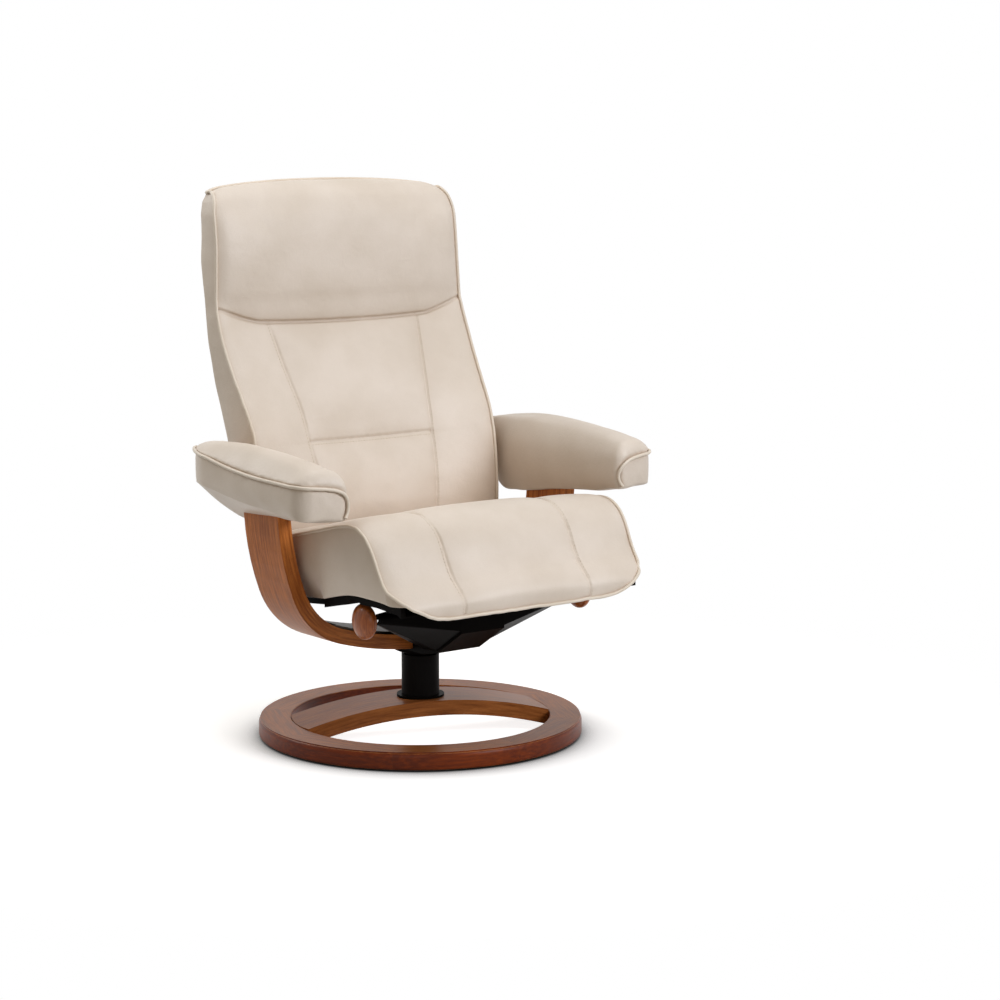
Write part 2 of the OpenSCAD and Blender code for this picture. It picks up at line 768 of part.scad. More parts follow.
// Steel tube frame in the cushion's well: a tilted rectangle with two cross tubes
tube_r = tube_d / 2;
frame_margin = 22;
frame_lead = 21;
frame_setback = 46;
frame_lift = 1.5;
frame_half = well_x - frame_margin;
frame_bend = 40;
frame_front = [-rod_fwd - frame_lead, seat_low + seat_h * 0.275 + tube_r + frame_lift];
frame_rear = [seat_rear - frame_setback, seat_low + seat_h * 0.045 + tube_r + frame_lift];
frame_l = norm(frame_front - frame_rear);
frame_tilt = atan2(frame_front[1] - frame_rear[1], frame_rear[0] - frame_front[0]);
module tube_x(y, half) {
    translate([0, y, 0]) rod_x(-half, 2 * half, tube_r, $fn = 48);
}
module frame_corner() {
    rotate_extrude(angle = 90, $fn = 64) translate([frame_bend, 0]) circle(r = tube_r, $fn = 48);
}
cross_r = tube_r - 1.5;
cross_front = frame_l * 0.14;
cross_rear = frame_l * 0.60;
module seat_frame_flat() {
    tube_x(0, frame_half - frame_bend);
    tube_x(frame_l, frame_half - frame_bend);
    mirror_x() {
        translate([frame_half, frame_bend, 0])
            rotate([-90, 0, 0]) cylinder(h = frame_l - 2 * frame_bend, r = tube_r, $fn = 48);
        translate([frame_half - frame_bend, frame_l - frame_bend, 0]) frame_corner();
        translate([frame_half - frame_bend, frame_bend, 0]) rotate([0, 0, -90]) frame_corner();
    }
    for (y = [cross_front, cross_rear])
        translate([0, y, 0]) rod_x(-frame_half, 2 * frame_half, cross_r, $fn = 48);
}
module on_seat_frame() {
    translate([0, frame_front[0], frame_front[1]]) rotate([-frame_tilt, 0, 0]) children();
}
module seat_frame() {
    color(black_steel) on_seat_frame() seat_frame_flat();
}

// Elastic straps over the tube frame
strap_w = 42;
strap_count = 4;
strap_step = (frame_l - 2 * frame_bend - strap_w) / (strap_count - 1);
module seat_webbing() {
    color(webbing)
    on_seat_frame()
        for (i = [0 : strap_count - 1])
            translate([-frame_half, frame_bend + strap_step * i, tube_r + fit])
                cube([2 * frame_half, strap_w, strap_t]);
}

// Bracket plate: turns on the pivot bolt and slides on the rod along an arc slot
slot_arm = norm([rod_fwd - pivot_fwd, rod_z - pivot_z]);
slot_from = atan2(rod_z - pivot_z, rod_fwd - pivot_fwd);
slot_clear = 0.4;
slot_r = rod_d / 2 + slot_clear;
slot_over = 1;
// Outline of an arc slot with round ends, r on either side of its centre line
function slot_point(a, r, t) = slot_arm * [cos(a), sin(a)] + r * [cos(t), sin(t)];
half_turn = 180;
slot_start = half_turn - slot_from - slot_over;
slot_end = half_turn - slot_from + recline_max + slot_over;
slot_angles = [for (i = [0 : 8]) slot_start + (slot_end - slot_start) * i / 8];
module bracket_slot(r) {
    translate([-pivot_fwd, pivot_z])
        polygon([
            for (a = slot_angles) slot_point(a, r, a),
            for (i = [1 : 11]) slot_point(slot_end, r, slot_end + half_turn * i / 12),
            for (a = reverse(slot_angles)) slot_point(a, -r, a),
            for (i = [1 : 11]) slot_point(slot_start, r, slot_start + half_turn + half_turn * i / 12)
        ]);
}
slot_wall = 9;
function on_frame(y, z) =
    frame_front + y * [cos(frame_tilt), -sin(frame_tilt)] + z * [sin(frame_tilt), cos(frame_tilt)];
bracket_top_front = on_frame(cross_front, 0);
bracket_top_rear = on_frame(cross_rear, 0);
bracket_front = pivot_fwd + slot_arm + slot_r + slot_wall;
bracket_rear = bracket_top_rear[0] + tube_r + lip;
pan_slot_w = bracket_x + bracket_t - hw + housing_wall + 2 * lip;
module seat_bracket(x0) {
    difference() {
        side_plate(x0, bracket_t)
            difference() {
                union() {
                    translate([-pivot_fwd, pivot_z]) circle(r = eye_r);
                    bracket_slot(slot_r + slot_wall);
                    polygon([
                        [-pivot_fwd - slot_arm - slot_r - slot_wall / 2, pivot_z],
                        [-pivot_fwd - slot_arm, pivot_z - slot_r - slot_wall],
                        [-pivot_fwd, pivot_z - eye_r],
                        [-pivot_fwd + eye_r, pivot_z],
                        bracket_top_rear + [tube_r + lip, -tube_r / 2],
                        bracket_top_rear, bracket_top_front,
                        bracket_top_front - [tube_r + lip, tube_r / 2]
                    ]);
                }
                bracket_slot(slot_r);
                for (c = [bracket_top_front, bracket_top_rear])
                    translate(c) circle(r = cross_r + fit, $fn = 48);
            }
        translate([0, -pivot_fwd, pivot_z]) rod_x(-knob_x, 2 * knob_x, rod_d / 2 + fit);
    }
}
module seat_bracket_left() {
    color(black_steel) seat_bracket(bracket_x);
}
module seat_bracket_right() {
    color(black_steel) seat_bracket(-bracket_x - bracket_t);
}

module back_hinge_pins() {
    color(chrome)
    mirror_x()
        translate([0, hinge_back, hinge_z]) {
            rod_x(ear_x - lip, ear_t + hinge_eye_w + 3 * lip, pin_d / 2);
            rod_x(ear_x - lip - bolt_head_h, bolt_head_h, pin_d / 2 + lip);
        }
}

// Back outline: shares of the depth from the lower front, and of the height up to the neck.
// The third number is the crown's share, where minus one sets the middle back.
back_h = neck_z - back_low;
back_front_shares = [
    [0.013, 0.004, 0], [0.004, 0.040, 0], [0.004, 0.120, -0.1], [0.012, 0.202, -0.15], [0.024, 0.284, -0.2],
    [0.046, 0.366, -0.4], [0.080, 0.448, -0.7], [0.123, 0.530, -1], [0.197, 0.611, -0.85], [0.308, 0.693, -0.5],
    [0.423, 0.775, -0.25], [0.529, 0.857, -0.1], [0.620, 0.939, 0.1], [0.675, 1, 0.1]
];
back_rear_shares = [
    [0.837, 1, 0], [0.803, 0.918, 0], [0.760, 0.836, 0], [0.721, 0.755, 0], [0.659, 0.673, 0],
    [0.601, 0.591, 0], [0.543, 0.509, 0], [0.481, 0.407, 0], [0.437, 0.305, 0], [0.409, 0.202, 0],
    [0.394, 0.100, 0], [0.390, 0.035, 0], [0.350, 0.004, 0], [0.180, 0, 0]
];
back_side_shares = concat(back_front_shares, back_rear_shares);
function back_yz(s) = [back_front + back_depth * s[0], back_low + back_h * s[1]];
back_half_shares = [[0, 0.870], [0.04, 0.888], [0.17, 0.911], [0.32, 0.932], [0.45, 0.950], [0.57, 0.965],
    [0.73, 0.986], [0.90, 1], [1, 0.996]];
function back_half(z) = back_w / 2 * lookup((z - back_low) / back_h, back_half_shares);
back_crown = 26;
function back_row(e) =
    let (p = [for (s = back_side_shares) back_yz(s)], n = len(back_front_shares))
    [for (i = [0 : len(p) - 1])
        let (
            front = i < n - 1 && i > 0 ? 1 : 0,
            flat = i == 0 || i == n - 1 || i == n,
            d = back_side_shares[i][2] * back_crown * (1 - e[0] * e[0]) - front * channel_depth * groove(e[0])
                - (flat ? 0 : edge_round * e[1]),
            q = p[i] + normal_of(p, i) * d
        )
        [
            e[0] * back_half(q[1]) - (i == n - 1 || i == n ? sign(e[0]) * edge_round * max(0, e[1] - 1) : 0),
            q[0], min(q[1], neck_z)
        ]];

// Hollow in the back foam for the frame, open to the rear where the cover panel closes it.
// Its front follows the frame's tube at a distance.
back_tube_r = 9;
frame_leg_x = ear_x + ear_t + seat_gap + hinge_eye_w / 2;
shell_w = 2 * (frame_leg_x + shell_margin);
weld = 1;
knee = back_yz([0.317, 0.325]);
shoulder = back_yz([0.653, 0.852]);
hollow_ahead = back_tube_r + fit + strap_t + seat_gap;
hollow_side = hollow_ahead / norm(shoulder - knee) * [knee[1] - shoulder[1], shoulder[0] - knee[0]];
neck_ahead = 9;
cover_line_shares = [for (i = [0 : 10]) [back_rear_shares[i][0], back_rear_shares[i][1]]];
function set_in(p, d) = [for (q = p) [q[0] - d, q[1]]];
cover_line = [for (s = cover_line_shares) back_yz(s)];
shell_rise = 36;
shell_low = back_low + shell_rise;
hollow_front = [
    [hinge_back - hollow_ahead, back_low], knee + hollow_side, shoulder + hollow_side,
    [neck_back - neck_ahead, neck_z + cut]
];
module back_hollow() {
    intersection() {
        side_plate(-shell_w / 2, shell_w)
            polygon(concat(hollow_front, shifted(set_in(cover_line, -back_depth / 2), cut)));
        translate([-shell_w / 2, 0, shell_low]) cube([shell_w, 2 * back_depth, back_h]);
    }
}
leg_notch = 34;
module back_cushion() {
    color(leather)
    difference() {
        loft([for (e = edge_row_shares) back_row(e)]);
        back_hollow();
        mirror_x()
            translate([frame_leg_x - leg_notch / 2, hinge_back - leg_notch / 2, hinge_z])
                cube([leg_notch, leg_notch * 1.35, shell_low - hinge_z + cut]);
    }
}

// Rear cover panel of the back, set flush in the hollow's mouth
module cover_panel(line, low, high, w) {
    intersection() {
        side_plate(-w / 2, w) polygon(concat(line, reverse(set_in(line, shell_t))));
        translate([-w / 2, 0, low]) cube([w, 3 * back_depth, high - low]);
    }
}
module back_shell() {
    color(leather)
    cover_panel(cover_line, shell_low + seat_gap, neck_z - seat_gap, shell_w - 2 * seat_gap);
}

// Bent steel tube frame of the back, its legs ending in the hinge eyes
neck_bar_x = 110;
barrel_r = 7;
barrel_l = 22;
neck_pin_r = 3;
module tube_between(a, b, r) {
    d = b - a;
    translate([0, a[0], a[1]])
        rotate([-atan2(d[0], d[1]), 0, 0]) cylinder(h = norm(d), r = r, $fn = 48);
}
eye_stem = ear_r + 2 * lip;
module back_leg() {
    tube_between([hinge_back, hinge_z + eye_stem - lip], knee, back_tube_r - weld);
    tube_between(knee, shoulder, back_tube_r);
    for (c = [knee, shoulder]) translate([0, c[0], c[1]]) sphere(r = back_tube_r + weld, $fn = 48);
    side_plate(-hinge_eye_w / 2, hinge_eye_w) {
        translate([hinge_back, hinge_z]) circle(r = ear_r);
        translate([hinge_back - ear_r * 0.7, hinge_z]) square([ear_r * 1.4, eye_stem]);
    }
}
module back_frame() {
    color(black_steel)
    difference() {
        union() {
            mirror_x() translate([frame_leg_x, 0, 0]) back_leg();
            translate([0, shoulder[0], shoulder[1]]) rod_x(-frame_leg_x, 2 * frame_leg_x, back_tube_r - weld);
            mirror_x()
                translate([neck_bar_x, 0, 0]) {
                    tube_between(shoulder, [neck_back, neck_z], barrel_r - 2 * weld);
                    translate([0, neck_back, neck_z]) rod_x(-barrel_l / 2, barrel_l, barrel_r);
                }
        }
        translate([0, hinge_back, hinge_z]) rod_x(-pan_half, 2 * pan_half, pin_d / 2 + fit);
        translate([0, neck_back, neck_z]) rod_x(-pan_half, 2 * pan_half, neck_pin_r + fit);
    }
}

back_strap_count = 4;
module back_webbing() {
    color(webbing)
    for (i = [0 : back_strap_count - 1])
        let (t = (i + 1 / 2) / back_strap_count, c = knee + (shoulder - knee) * t, d = shoulder - knee)
            translate([0, c[0], c[1]])
                rotate([-atan2(d[0], d[1]), 0, 0])
                    translate([-frame_leg_x, -back_tube_r - fit - strap_t, -strap_w / 2])
                        cube([2 * frame_leg_x, strap_t, strap_w]);
}

module headrest_pins() {
    color(chrome)
    mirror_x()
        translate([neck_bar_x, neck_back, neck_z]) {
            rod_x(-barrel_l / 2 - cut, 2 * barrel_l + seat_gap + 2 * cut, neck_pin_r);
        }
}

// Headrest outline, in shares of the same depth and of the headrest's own height
head_side_shares = [
    [0.697, 0.028, 0], [0.702, 0.100, 0.6], [0.707, 0.200, 0.9], [0.712, 0.330, 1], [0.717, 0.480, 1],
    [0.731, 0.650, 0.9], [0.765, 0.820, 0.7], [0.822, 0.945, 0.7], [0.900, 1, 0.8], [0.970, 0.985, 0.5],
    [1, 0.925, 0.2], [0.985, 0.780, 0.1], [0.962, 0.610, 0], [0.947, 0.440, 0], [0.908, 0.280, 0],
    [0.865, 0.130, 0], [0.842, 0.010, 0], [0.780, 0.004, 0]
];
function head_yz(s) = [back_front + back_depth * s[0], neck_z + neck_gap + head_h * s[1]];
neck_gap = 0.4;
head_half_shares = [[0, 0.993], [0.15, 0.990], [0.35, 0.982], [0.55, 0.975], [0.80, 0.973], [0.90, 0.955],
    [0.96, 0.925], [1, 0.895]];
function head_half(z) = back_w / 2 * lookup((z - neck_z) / head_h, head_half_shares);
head_crown = 20;
function head_row(e) =
    let (p = [for (s = head_side_shares) head_yz(s)], n = len(head_side_shares))
    [for (i = [0 : n - 1])
        let (
            low = i == 0 || i > n - 3,
            d = head_side_shares[i][2] * head_crown * (1 - e[0] * e[0]) - (low ? 0 : edge_round * e[1]),
            q = p[i] + normal_of(p, i) * d
        )
        [
            e[0] * head_half(q[1]) - (low ? sign(e[0]) * edge_round * max(0, e[1] - 1) : 0),
            q[0], max(q[1], neck_z + neck_gap)
        ]];

head_cover_shares = [for (i = [16 : -1 : 11]) [head_side_shares[i][0], head_side_shares[i][1]]];
head_cover_line = [for (s = head_cover_shares) head_yz(s)];
head_cover_top = neck_z + head_h * 0.70;
module headrest_hollow() {
    intersection() {
        side_plate(-shell_w / 2, shell_w)
            polygon(concat(
                [
                    [neck_back - head_plate_t / 2 - seat_gap, head_top],
                    [neck_back - head_plate_t / 2 - seat_gap, head_plate_low],
                    [neck_back - neck_ahead, neck_z + neck_ahead], [neck_back - neck_ahead, neck_z - cut]
                ],
                [[head_cover_line[0][0] + shell_t, neck_z - cut]],
                set_in(head_cover_line, -shell_t),
                [[head_cover_line[5][0] + shell_t, head_top]]
            ));
        translate([-shell_w / 2, 0, neck_z - cut])
            cube([shell_w, 3 * back_depth, head_cover_top - neck_z + cut]);
    }
}
module headrest_cushion() {
    color(leather)
    difference() {
        loft([for (e = edge_row_shares) head_row(e)]);
        headrest_hollow();
    }
}
module headrest_shell() {
    color(leather)
    cover_panel(head_cover_line, neck_z + 2 * neck_gap, head_cover_top - seat_gap, shell_w - 2 * seat_gap);
}

// Headrest plate: sheet steel on two barrels beside those of the back frame
head_plate_t = 3;
head_plate_half = 170;
head_plate_rise = 26;
head_plate_top_gap = 12;
head_plate_low = neck_z + head_plate_rise;
module headrest_frame() {
    color(black_steel)
    difference() {
        union() {
            mirror_x()
                translate([neck_bar_x + barrel_l + seat_gap, 0, 0]) {
                    translate([0, neck_back, neck_z]) rod_x(-barrel_l / 2, barrel_l, barrel_r);
                    translate([-barrel_l / 2, neck_back - head_plate_t / 2, neck_z])
                        cube([barrel_l, head_plate_t, 2 * (head_plate_low - neck_z)]);
                }
            translate([-head_plate_half, neck_back - head_plate_t / 2, head_plate_low])
                cube([2 * head_plate_half, head_plate_t, head_cover_top - head_plate_low - head_plate_top_gap]);
        }
        translate([0, neck_back, neck_z]) rod_x(-pan_half, 2 * pan_half, neck_pin_r + fit);
    }
}

// Arm pad rows from the rear to the tip. Each row: share of the length, then shares of the
// width for the inner and outer sides, and shares of the height for the inner bottom,
// outer bottom, outer edge seam and crest.
arm_row_shares = [
    [0, 0.22, 0.62, 0.36, 0.46, 0.76, 0.80],
    [0.02, 0.10, 0.76, 0.20, 0.40, 0.84, 0.90],
    [0.07, 0.03, 0.90, 0.08, 0.42, 0.86, 0.95],
    [0.16, 0, 0.98, 0.03, 0.44, 0.84, 0.98],
    [0.28, 0, 1, 0.05, 0.42, 0.80, 1],
    [0.40, 0, 1, 0.09, 0.38, 0.74, 0.99],
    [0.52, 0.01, 1, 0.13, 0.34, 0.70, 0.97],
    [0.64, 0.02, 0.99, 0.16, 0.31, 0.67, 0.94],
    [0.76, 0.03, 0.97, 0.19, 0.29, 0.66, 0.91],
    [0.86, 0.05, 0.95, 0.22, 0.29, 0.66, 0.88],
    [0.93, 0.07, 0.92, 0.24, 0.30, 0.66, 0.83],
    [0.98, 0.10, 0.86, 0.28, 0.34, 0.63, 0.74],
    [1, 0.18, 0.74, 0.36, 0.42, 0.56, 0.62]
];
function arm_row(s) =
    let (
        y = arm_l - arm_fwd - arm_l * s[0],
        a = arm_gap / 2 + arm_w * s[1], b = arm_gap / 2 + arm_w * s[2], w = b - a,
        zi = arm_low + arm_h * s[3], zo = arm_low + arm_h * s[4],
        zs = arm_low + arm_h * s[5], zc = arm_low + arm_h * s[6],
        corners = [
            [a + w * 0.10, zi], [a + w * 0.50, zi + (zo - zi) * 0.42], [b - w * 0.08, zo],
            [b - w * 0.015, zo + (zs - zo) * 0.12], [b, (zo + zs) / 2], [b, zo + (zs - zo) * 0.93],
            [b - w * 0.06, zs + (zc - zs) * 0.28], [b - w * 0.30, zs + (zc - zs) * 0.86],
            [b - w * 0.55, zc], [b - w * 0.80, zs + (zc - zs) * 0.80], [a + w * 0.04, zi + (zc - zi) * 0.70],
            [a, zi + (zc - zi) * 0.36], [a + w * 0.02, zi + (zc - zi) * 0.08]
        ]
    )
    [for (q = smooth_loop(corners, 2)) [q[0], y, q[1]]];

// Plywood arm board on the leg's end, inside the pad
board_tip = 66;
board_tail = 84;
board_side = 10;
board_margin = 54;
leg_slack = 1.5;
board_front = arm_fwd - board_tip;
board_rear = arm_l - arm_fwd - board_tail;
board_x = arm_gap / 2 + board_side;
board_w = arm_w - board_margin;
arm_bolt_l = 56;
module arm_bolt_places() {
    for (sx = [-1, 1], sy = [-1, 1])
        translate([sx * (hoop_half - hoop_t / 2), hoop_back + sy * hoop_w / 4, hoop_top]) children();
}
module arm_board_left() {
    color(ply)
    difference() {
        translate([board_x, -board_front, hoop_top]) cube([board_w, board_front + board_rear, board_t]);
        arm_bolt_places() translate([0, 0, -cut]) cylinder(h = board_t + 2 * cut, r = bolt_r + fit, $fn = 32);
    }
}
module arm_board_right() {
    mirror([1, 0, 0]) arm_board_left();
}
module arm_bolts() {
    color(chrome)
    arm_bolt_places() {
        translate([0, 0, -arm_bolt_l + seat_gap]) cylinder(h = arm_bolt_l + board_t, r = bolt_r, $fn = 32);
        translate([0, 0, board_t]) cylinder(h = bolt_head_h, r = bolt_head_r, $fn = 32);
    }
}

// Upholstered arm pad with pockets for the board, the leg's end and the bolt heads
board_pocket = [board_w + 2 * seat_gap, board_front + board_rear + 2 * seat_gap, board_t + 2 * seat_gap];
module arm_pad_left() {
    color(leather)
    difference() {
        loft(reverse([for (s = arm_row_shares) arm_row(s)]));
        translate([board_x - seat_gap, -board_front - seat_gap, hoop_top - seat_gap]) cube(board_pocket);
        translate([hoop_half - hoop_t - leg_slack, hoop_back - hoop_w / 2 - leg_slack, 0])
            cube([hoop_t + 2 * leg_slack, hoop_w + 2 * leg_slack, hoop_top]);
        arm_bolt_places() cylinder(h = board_t + bolt_head_h + seat_gap, r = bolt_head_r + seat_gap, $fn = 24);
    }
}
module arm_pad_right() {
    mirror([1, 0, 0]) arm_pad_left();
}

base_ring();
base_crossbar();
crossbar_dowels();
floor_glides();
column_flange();
column_bolts();
column_post();
column_sleeve();
swivel_bearing();
swivel_hub();
tilt_housing();
hoop_frame();
hoop_plate();
hoop_bolts();
recline_pivots();
tension_rod();
friction_washers();
arm_board_left();
arm_board_right();
arm_bolts();
arm_pad_left();
arm_pad_right();
tension_knob_left();
tension_knob_right();
knob_insert_left();
knob_insert_right();
seat_pan();
seat_frame();
seat_webbing();
seat_bracket_left();
seat_bracket_right();
seat_cushion();
back_hinge_pins();
back_frame();
back_webbing();
back_cushion();
back_shell();
headrest_pins();
headrest_frame();
headrest_cushion();
headrest_shell();
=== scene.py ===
# Swivel recliner: cream leather on a bentwood hoop and a wooden floor ring.
# Metres, +Z up, the chair faces -Y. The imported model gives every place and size.
import math

import bmesh
import bpy
import numpy as np
from mathutils import Matrix, Vector
from mathutils.bvhtree import BVHTree


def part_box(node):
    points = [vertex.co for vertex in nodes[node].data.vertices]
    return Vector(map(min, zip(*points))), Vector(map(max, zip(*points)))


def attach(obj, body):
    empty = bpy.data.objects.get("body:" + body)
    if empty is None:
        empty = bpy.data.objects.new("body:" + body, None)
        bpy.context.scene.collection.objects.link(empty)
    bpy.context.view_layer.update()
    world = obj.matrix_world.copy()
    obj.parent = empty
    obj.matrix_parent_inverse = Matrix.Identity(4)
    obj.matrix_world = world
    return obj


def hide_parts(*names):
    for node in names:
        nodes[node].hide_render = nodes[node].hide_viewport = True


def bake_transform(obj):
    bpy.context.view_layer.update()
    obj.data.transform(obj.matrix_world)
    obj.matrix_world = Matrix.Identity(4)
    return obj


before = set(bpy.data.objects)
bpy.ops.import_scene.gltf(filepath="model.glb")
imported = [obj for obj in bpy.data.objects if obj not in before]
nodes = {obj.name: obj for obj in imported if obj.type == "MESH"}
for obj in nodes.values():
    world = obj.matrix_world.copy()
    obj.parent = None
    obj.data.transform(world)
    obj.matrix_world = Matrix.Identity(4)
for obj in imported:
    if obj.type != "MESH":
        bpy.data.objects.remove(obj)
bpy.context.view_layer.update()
scene = bpy.context.scene
scene.view_settings.view_transform = "Standard"


# Studio: camera, lamps, white sweep
# A white photo studio: one broad soft box at the front right, weaker ones overhead and at the
# rear left, a faint one at the front left, and a pale sweep that shows the soft shadow round
# the floor ring.
camera = bpy.data.objects.new("camera", bpy.data.cameras.new("camera"))
camera.data.lens = 94.05
camera.data.sensor_width = 36
camera.location = (-2.762, -3.867, 1.161)
camera.rotation_euler = (math.radians(81.33), 0, math.radians(-37.32))
scene.collection.objects.link(camera)
scene.camera = camera


def soft_box(name, place, target, size, watts, colour=(1, 1, 1)):
    lamp = bpy.data.lights.new(name, "AREA")
    lamp.shape = "RECTANGLE"
    lamp.size, lamp.size_y = size
    lamp.energy = watts
    lamp.color = colour
    box = bpy.data.objects.new(name, lamp)
    box.location = place
    box.rotation_euler = (Vector(target) - Vector(place)).to_track_quat("-Z", "Y").to_euler()
    scene.collection.objects.link(box)


soft_box("front_right_box", (1.3, -3.5, 2.1), (0, 0, 0.5), (1.8, 1.8), 97, (0.97, 0.99, 1.05))
soft_box("front_left_box", (-2.8, -2.6, 1.5), (0, 0, 0.5), (2.0, 2.0), 14)
soft_box("overhead_box", (0.1, -0.2, 3.2), (0, 0, 0.4), (2.6, 2.6), 41)
soft_box("rear_left_box", (-2.0, 2.6, 2.6), (0, 0.1, 0.8), (1.6, 1.6), 54)


def linear(code):
    """A colour written as sRGB hex, as the shader's linear numbers."""
    steps = [int(code[i:i + 2], 16) / 255 for i in (1, 3, 5)]
    return [s / 12.92 if s <= 0.04045 else ((s + 0.055) / 1.055) ** 2.4 for s in steps] + [1]


def wire(tree, node, **links):
    """Fills a node's inputs. Each link is a value, or another node's output, for the input of
    that name or, as in_0, of that number."""
    for key, value in links.items():
        place = node.inputs[int(key[3:])] if key.startswith("in_") else node.inputs[key.replace("_", " ")]
        if isinstance(value, bpy.types.NodeSocket):
            tree.links.new(value, place)
        else:
            place.default_value = value


def add(tree, kind, settings=None, **links):
    """Adds a node with its own settings and with its inputs filled."""
    node = tree.nodes.new(kind)
    for key, value in (settings or {}).items():
        setattr(node, key, value)
    wire(tree, node, **links)
    return node


def maths(tree, operation, a, b=0.0, c=0.0):
    """One sum on values or outputs."""
    return add(tree, "ShaderNodeMath", {"operation": operation}, in_0=a, in_1=b, in_2=c).outputs[0]


# Settings of a node that mixes two colours, plainly or one multiplied by the other
mixed, multiplied = {"data_type": "RGBA"}, {"data_type": "RGBA", "blend_type": "MULTIPLY"}


world = bpy.data.worlds.new("white_studio")
scene.world = world
world.use_nodes = True
tree = world.node_tree
tree.nodes.clear()
path = add(tree, "ShaderNodeLightPath")
seen = maths(tree, "MAXIMUM", path.outputs["Is Camera Ray"], path.outputs["Is Glossy Ray"])
seen = maths(tree, "MAXIMUM", seen, path.outputs["Is Transmission Ray"])
room = add(tree, "ShaderNodeBackground", Color=linear("#F6DFB8"), Strength=0.16)
white = add(tree, "ShaderNodeBackground", Color=linear("#FFFFFF"), Strength=1.0)
both = add(tree, "ShaderNodeMixShader", in_0=seen, in_1=room.outputs[0], in_2=white.outputs[0])
add(tree, "ShaderNodeOutputWorld", Surface=both.outputs[0])


def new_material(name):
    """An empty material and its tree, with the output linked to a principled shader."""
    material = bpy.data.materials.new(name)
    material.use_nodes = True
    tree = material.node_tree
    tree.nodes.clear()
    shader = add(tree, "ShaderNodeBsdfPrincipled")
    add(tree, "ShaderNodeOutputMaterial", Surface=shader.outputs[0])
    return material, tree, shader


# Painted sweep: matt white, fading out to the white room beyond the shadow
sweep_paint, tree, shader = new_material("matt_white_paint")
wire(tree, shader, Roughness=0.9, Specular_IOR_Level=0.2)
here = add(tree, "ShaderNodeTexCoord")
reach = add(tree, "ShaderNodeVectorMath", {"operation": "LENGTH"}, in_0=here.outputs["Object"])
fade = add(tree, "ShaderNodeMapRange", {"interpolation_type": "SMOOTHSTEP"}, Value=reach.outputs["Value"],
           From_Min=0.65, From_Max=1.25)
path = add(tree, "ShaderNodeLightPath")
seen = maths(tree, "MAXIMUM", path.outputs["Is Camera Ray"], path.outputs["Is Glossy Ray"])
# Painted contact shade from an occlusion pass outside the floor ring; the floor inside it stays white
near = add(tree, "ShaderNodeAmbientOcclusion", {"samples": 12}, Distance=0.18)
shade = maths(tree, "POWER", near.outputs["AO"], 1.8)
inside = add(tree, "ShaderNodeMapRange", Value=reach.outputs["Value"], From_Min=0.270, From_Max=0.285)
shade = add(tree, "ShaderNodeMix", {"data_type": "FLOAT"}, in_0=inside.outputs[0], in_2=1.0, in_3=shade)
shaded_floor_colour = add(tree, "ShaderNodeMix", mixed, in_0=shade.outputs[0], in_6=linear("#000000"),
            in_7=linear("#E9E9E9"))
wire(tree, shader, Base_Color=shaded_floor_colour.outputs[2])
# Painted light: the floor glows more inside the ring than outside it
lift = add(tree, "ShaderNodeMix", {"data_type": "FLOAT"}, in_0=inside.outputs[0], in_2=0.85, in_3=0.60)
lift = maths(tree, "MULTIPLY", seen, maths(tree, "MULTIPLY", lift.outputs[0], shade.outputs[0]))
glow = add(tree, "ShaderNodeEmission", Color=linear("#FFFFFF"), Strength=lift)
lifted = add(tree, "ShaderNodeAddShader", in_0=shader.outputs[0], in_1=glow.outputs[0])
clear = add(tree, "ShaderNodeBsdfTransparent")
out = add(tree, "ShaderNodeMixShader", in_0=fade.outputs[0], in_1=lifted.outputs[0], in_2=clear.outputs[0])
wire(tree, tree.nodes["Material Output"], Surface=out.outputs[0])

bm = bmesh.new()
bmesh.ops.create_circle(bm, cap_ends=True, segments=96, radius=1.4)
sweep = bpy.data.objects.new("sweep", bpy.data.meshes.new("sweep"))
bm.to_mesh(sweep.data)
bm.free()
sweep.data.transform(Matrix.Translation((0, 0, -0.0005)))
sweep.data.materials.append(sweep_paint)
scene.collection.objects.link(sweep)


# Floor ring and crossbar
# Beech, stained medium brown under satin lacquer. The ring is glued up from eight curved
# segments whose grain follows each one's length; the crossbar is a bent lamination of thin
# veneers, butted on the ring's inner wall with dowels.
ring_radius = 0.300
ring_segments = 8
base_turn = math.radians(-17.5)
veneer = 0.0017
stain_face, stain_dark = "#AA6836", "#7A431C"


def polar(tree, x, y):
    """Angle and distance of a point given by two outputs."""
    squares = maths(tree, "ADD", maths(tree, "MULTIPLY", x, x), maths(tree, "MULTIPLY", y, y))
    return maths(tree, "ARCTAN2", y, x), maths(tree, "SQRT", squares)


def dyed(ramp, *codes):
    """Gives a colour ramp its two colours."""
    for element, code in zip(ramp.color_ramp.elements, codes):
        element.color = linear(code)


